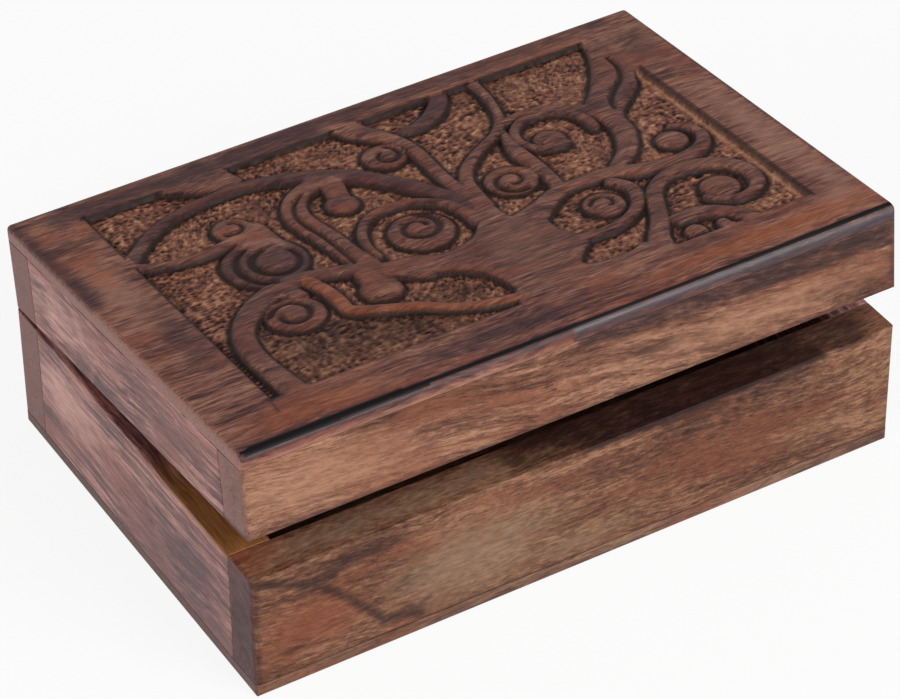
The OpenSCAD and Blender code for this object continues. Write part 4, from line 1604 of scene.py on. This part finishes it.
PANEL_MARKS = (
    Marks(Tint.BURN, Side.TOP, (
        # Borders: left, front, back and right
        Spot(-65.5, -10, 4.5, 22, 0.6),
        Streak(((-75.5, 50), (-74.5, 12)), 2.6, 0.7),
        Spot(-15, -43.5, 24, 3.4, 0.71),
        Spot(36, -39.5, 15, 2.6, 0.66),
        Streak(((-66, 47.8), (68, 47.8)), 3, 0.64),
        Streak(((-66, 46), (-8, 46.6)), 4, 0.85, 0.71),
        Spot(70, 35, 6, 13, 0.6),
        Streak(((75.4, 40), (75.4, -30)), 0.7, 0.65),
        # The stem in the middle, and a fleck on the near left corner of the field
        Spot(2, 14, 5, 9, 0.35),
        Streak(((-62.3, -37), (-62.6, -42)), 0.5, 0.7),
        # Scorched front edge: a black line, partly painted shade where the edge starts to round
        Streak(((-75, -49.7), (-30, -49.7), (20, -49.8), (50, -49.8), (76, -49.6)), 0.6, 1.6),
        Streak(((40, -49.8), (76, -49.5)), 0.85, 1.6),
        Streak(((-73, -49.6), (-40, -49.6)), 1.2, 1.6),
        Streak(((-40, -49.6), (0, -49.7)), 0.8, 1.5),
    )),
    Marks(Tint.BURN, Side.FRONT, (
        # Black scorch at the top of the nose's front, partly painted shade where the edge rounds, and a
        # purple scorch band below
        Streak(((-75, 50.3), (0, 50), (30, 49.6)), 1.0, 1.5, 0.71),
        Streak(((-74.5, 50.5), (-54, 50.6)), 0.5, 1.6),
        Streak(((-54, 50.6), (-34, 50.7)), 0.45, 1.0),
        Streak(((0, 48.6), (20, 47.6), (76, 47.4)), 1.5, 2.4, 0.71),
    )),
    # The polished nose; its grey-purple colour is partly painted sheen
    Marks(Tint.GLOSS, Side.TOP, (Streak(((20, -50.9), (76, -51.1)), 0.7, 0.9),)),
    Marks(Tint.GLOSS, Side.FRONT, (
        Streak(((-74, 49.9), (10, 49.8)), 0.5, 0.4), Streak(((0, 50), (30, 49.5), (76, 48.7)), 1.5, 0.9),
    )),
    # Rubbed edges and borders, and a painted highlight along the left top edge
    Marks(Tint.PALE, Side.FRONT, (Streak(((-76, 47.8), (3, 47.5)), 1.1, 0.8),)),
    # Painted highlight along the rounded left top edge
    Marks(Tint.PALE, Side.LEFT, (Streak(((-49, 50.3), (50, 50.3)), 1.0, 0.55),)),
    Marks(Tint.WARM, Side.TOP, (
        Spot(54, -44.5, 34, 3.8, 0.75), Spot(-55, -44, 22, 4, 0.6), Spot(-69, 24, 4, 12, 0.5),
    )),
    Marks(Tint.PALE, Side.TOP, (
        # Painted highlight on the inner rim of the large boss on the left
        Streak(((-39, 14.5), (-34, 13), (-31.2, 8)), 1.1, 0.9),
        Spot(-69, 14, 5, 16, 0.8),
        Spot(71, -10, 4.5, 26, 0.8),
        Spot(72, -33, 4, 9, 0.8),
        Spot(6, -18, 10, 12, 0.55),
        Spot(-45, -44, 26, 3, 0.4),
        Spot(69, -42, 7, 6, 0.9),
    )),
)

# Finishes of the boards

# Tan and brick brown with short soft dashes, the most figured board
FRONT = StainedWood(
    "waxed_mango_front", "#402216", "#724a37", "#9c7256", Grain.ALONG_X, rosy="#76432f",
    pale="#8a6d58", warm="#7d4430", burnt_and_shade="#2a1817", end_grain="#5f4042", shift=40, slope=0.06, patch=0.7,
    streak=0.4, dash=0.8, spread=0.2, sheen=0.2, dashes=Fibre(2.6, 0.7, 3, 0.65),
    fine=Fibre(0.7, 0.4, 2, 0.7),
)
# Paler, with streaks that slant, and polished along its nose
LID_FRONT = StainedWood(
    "waxed_mango_lid_front", "#482a1e", "#7a5140", "#a87c62", Grain.ALONG_X, rosy="#85513b",
    pale="#a1755c", burnt_and_shade="#2b1c20", end_grain="#86605a", shift=190, slope=0.14, streak=0.7, spread=0.19,
    sheen=0.2, dashes=Fibre(2.8, 0.6, 3, 0.65), fine=Fibre(0.7, 0.36, 2, 0.7), lid=True, glossy=True,
)
# Plain red brown
BACK = StainedWood(
    "waxed_mango_back", "#3f251c", "#6d4534", "#906648", Grain.ALONG_X, end_grain="#7f5a57",
    shift=300, slope=-0.05,
)
# Greyish rose in long thin streaks, with a closer polish; its warm orange is painted light on the tray's rim
END = StainedWood(
    "waxed_mango_end", "#44282a", "#7e514c", "#b4847b", Grain.ALONG_Y, rosy="#854f49",
    pale="#c4968d", warm="#8e5c2c", burnt_and_shade="#3a2429", shift=120, slope=0.03, patch=0.4, streak=0.9,
    pores=0.35, spread=0.15, roughness=0.44, sheen=0.28, streaks=Fibre(38, 1.4, 3),
    dashes=Fibre(8, 0.5, 2, 0.6),
)
# Greyish brown, with less stain below
BASE = StainedWood(
    "waxed_mango_base", "#482e25", "#70503f", "#8d6b56", Grain.FLAT_X, end_grain="#5f4340",
    shift=610, slope=0.03,
)
# Dark red brown on its flat parts, which wax and hands have darkened
CARVED = CarvedWood(
    "rubbed_carved_mango", "#3c2021", "#7a4e42", "#a0725d", Grain.FLAT_X, rosy="#864936",
    pale="#946a5b", warm="#94512f", burnt_and_shade="#3a262b", end_grain="#8f6a63", shift=75, slope=0.02, dash=0.8,
    spread=0.19, lid=True, glossy=True,
)


@dataclass
class Walls:
    """The four walls of the tray or the lid: long boards that cap the ends between them.

    A wall is given by its slot, its finish and its marks, under the side on which it stands.
    """

    half: str
    low: float
    high: float
    dressed: dict[str, tuple[str, StainedWood, tuple[Marks, ...]]]

    def build(self, sizes: BoxSizes, place: LidPlace) -> None:
        """Builds the walls in the order of their list.

        Args:
            sizes: Sizes of the box.
            place: Where the lid stands ajar.
        """
        x, y = sizes.half_l, sizes.half_w
        x_in, y_in = x - sizes.board_t, y - sizes.board_t
        spans = {
            "front": ((-x, -y), (x, -y_in)),
            "back": ((-x, y_in), (x, y)),
            "left_end": ((-x, -y_in), (-x_in, y_in)),
            "right_end": ((x_in, -y_in), (x, y_in)),
        }
        for side, (slot, finish, marks) in self.dressed.items():
            low, high = (*spans[side][0], self.low), (*spans[side][1], self.high)
            Board(f"{self.half}_{side}", slot, low, high, finish, marks, side == "back").build(sizes, place)


@dataclass
class DiceBox:
    """The whole box: its tray, its lid and its hinges."""

    sizes: BoxSizes = field(default_factory=BoxSizes)

    def build(self, nodes: dict[str, bpy.types.Object], place: LidPlace) -> None:
        """Builds every piece and dresses the nodes that stay.

        Args:
            nodes: The CAD nodes by name.
            place: Where the lid stands ajar.
        """
        s = self.sizes
        Walls("tray", s.base_t, s.tray_h, {
            "front": ("front_wood", FRONT, TRAY_FRONT_MARKS),
            "back": ("back_wood", BACK, ()),
            "left_end": ("end_wood", END, TRAY_LEFT_MARKS),
            "right_end": ("end_wood", replace(END, name="waxed_mango_right_end", shift=260), ()),
        }).build(s, place)
        back = replace(BACK, name="waxed_mango_lid_back", shift=420, lid=True)
        left = replace(END, name="waxed_mango_lid_left_end", shift=350, lid=True)
        Walls("lid", s.rim_z, s.panel_z, {
            "front": ("lid_front_wood", LID_FRONT, LID_FRONT_MARKS),
            "back": ("back_wood", back, ()),
            "left_end": ("end_wood", left, LID_LEFT_MARKS),
            "right_end": ("end_wood", replace(left, name="waxed_mango_lid_right_end", shift=520), ()),
        }).build(s, place)
        CarvedPanel(s, CARVED, PANEL_MARKS).build(place)
        dress_node(nodes["tray_base"], BASE.material(place))
        Fittings().dress(nodes)


def clear_start_scene() -> None:
    """Removes what Blender's start file brings along."""
    for name in ("Cube", "Light", "Camera"):
        if name in bpy.data.objects and name not in frame["nodes"]:
            bpy.data.objects.remove(bpy.data.objects[name])


def main() -> None:
    """Builds the camera, the studio and the box, in that order."""
    logging.basicConfig(level=logging.INFO, format="%(message)s")
    clear_start_scene()
    PhotoCamera().build()
    Studio().build()
    DiceBox().build(frame["nodes"], LidPlace.from_joint(frame["joints"][0]))


if __name__ == "__main__":
    main()
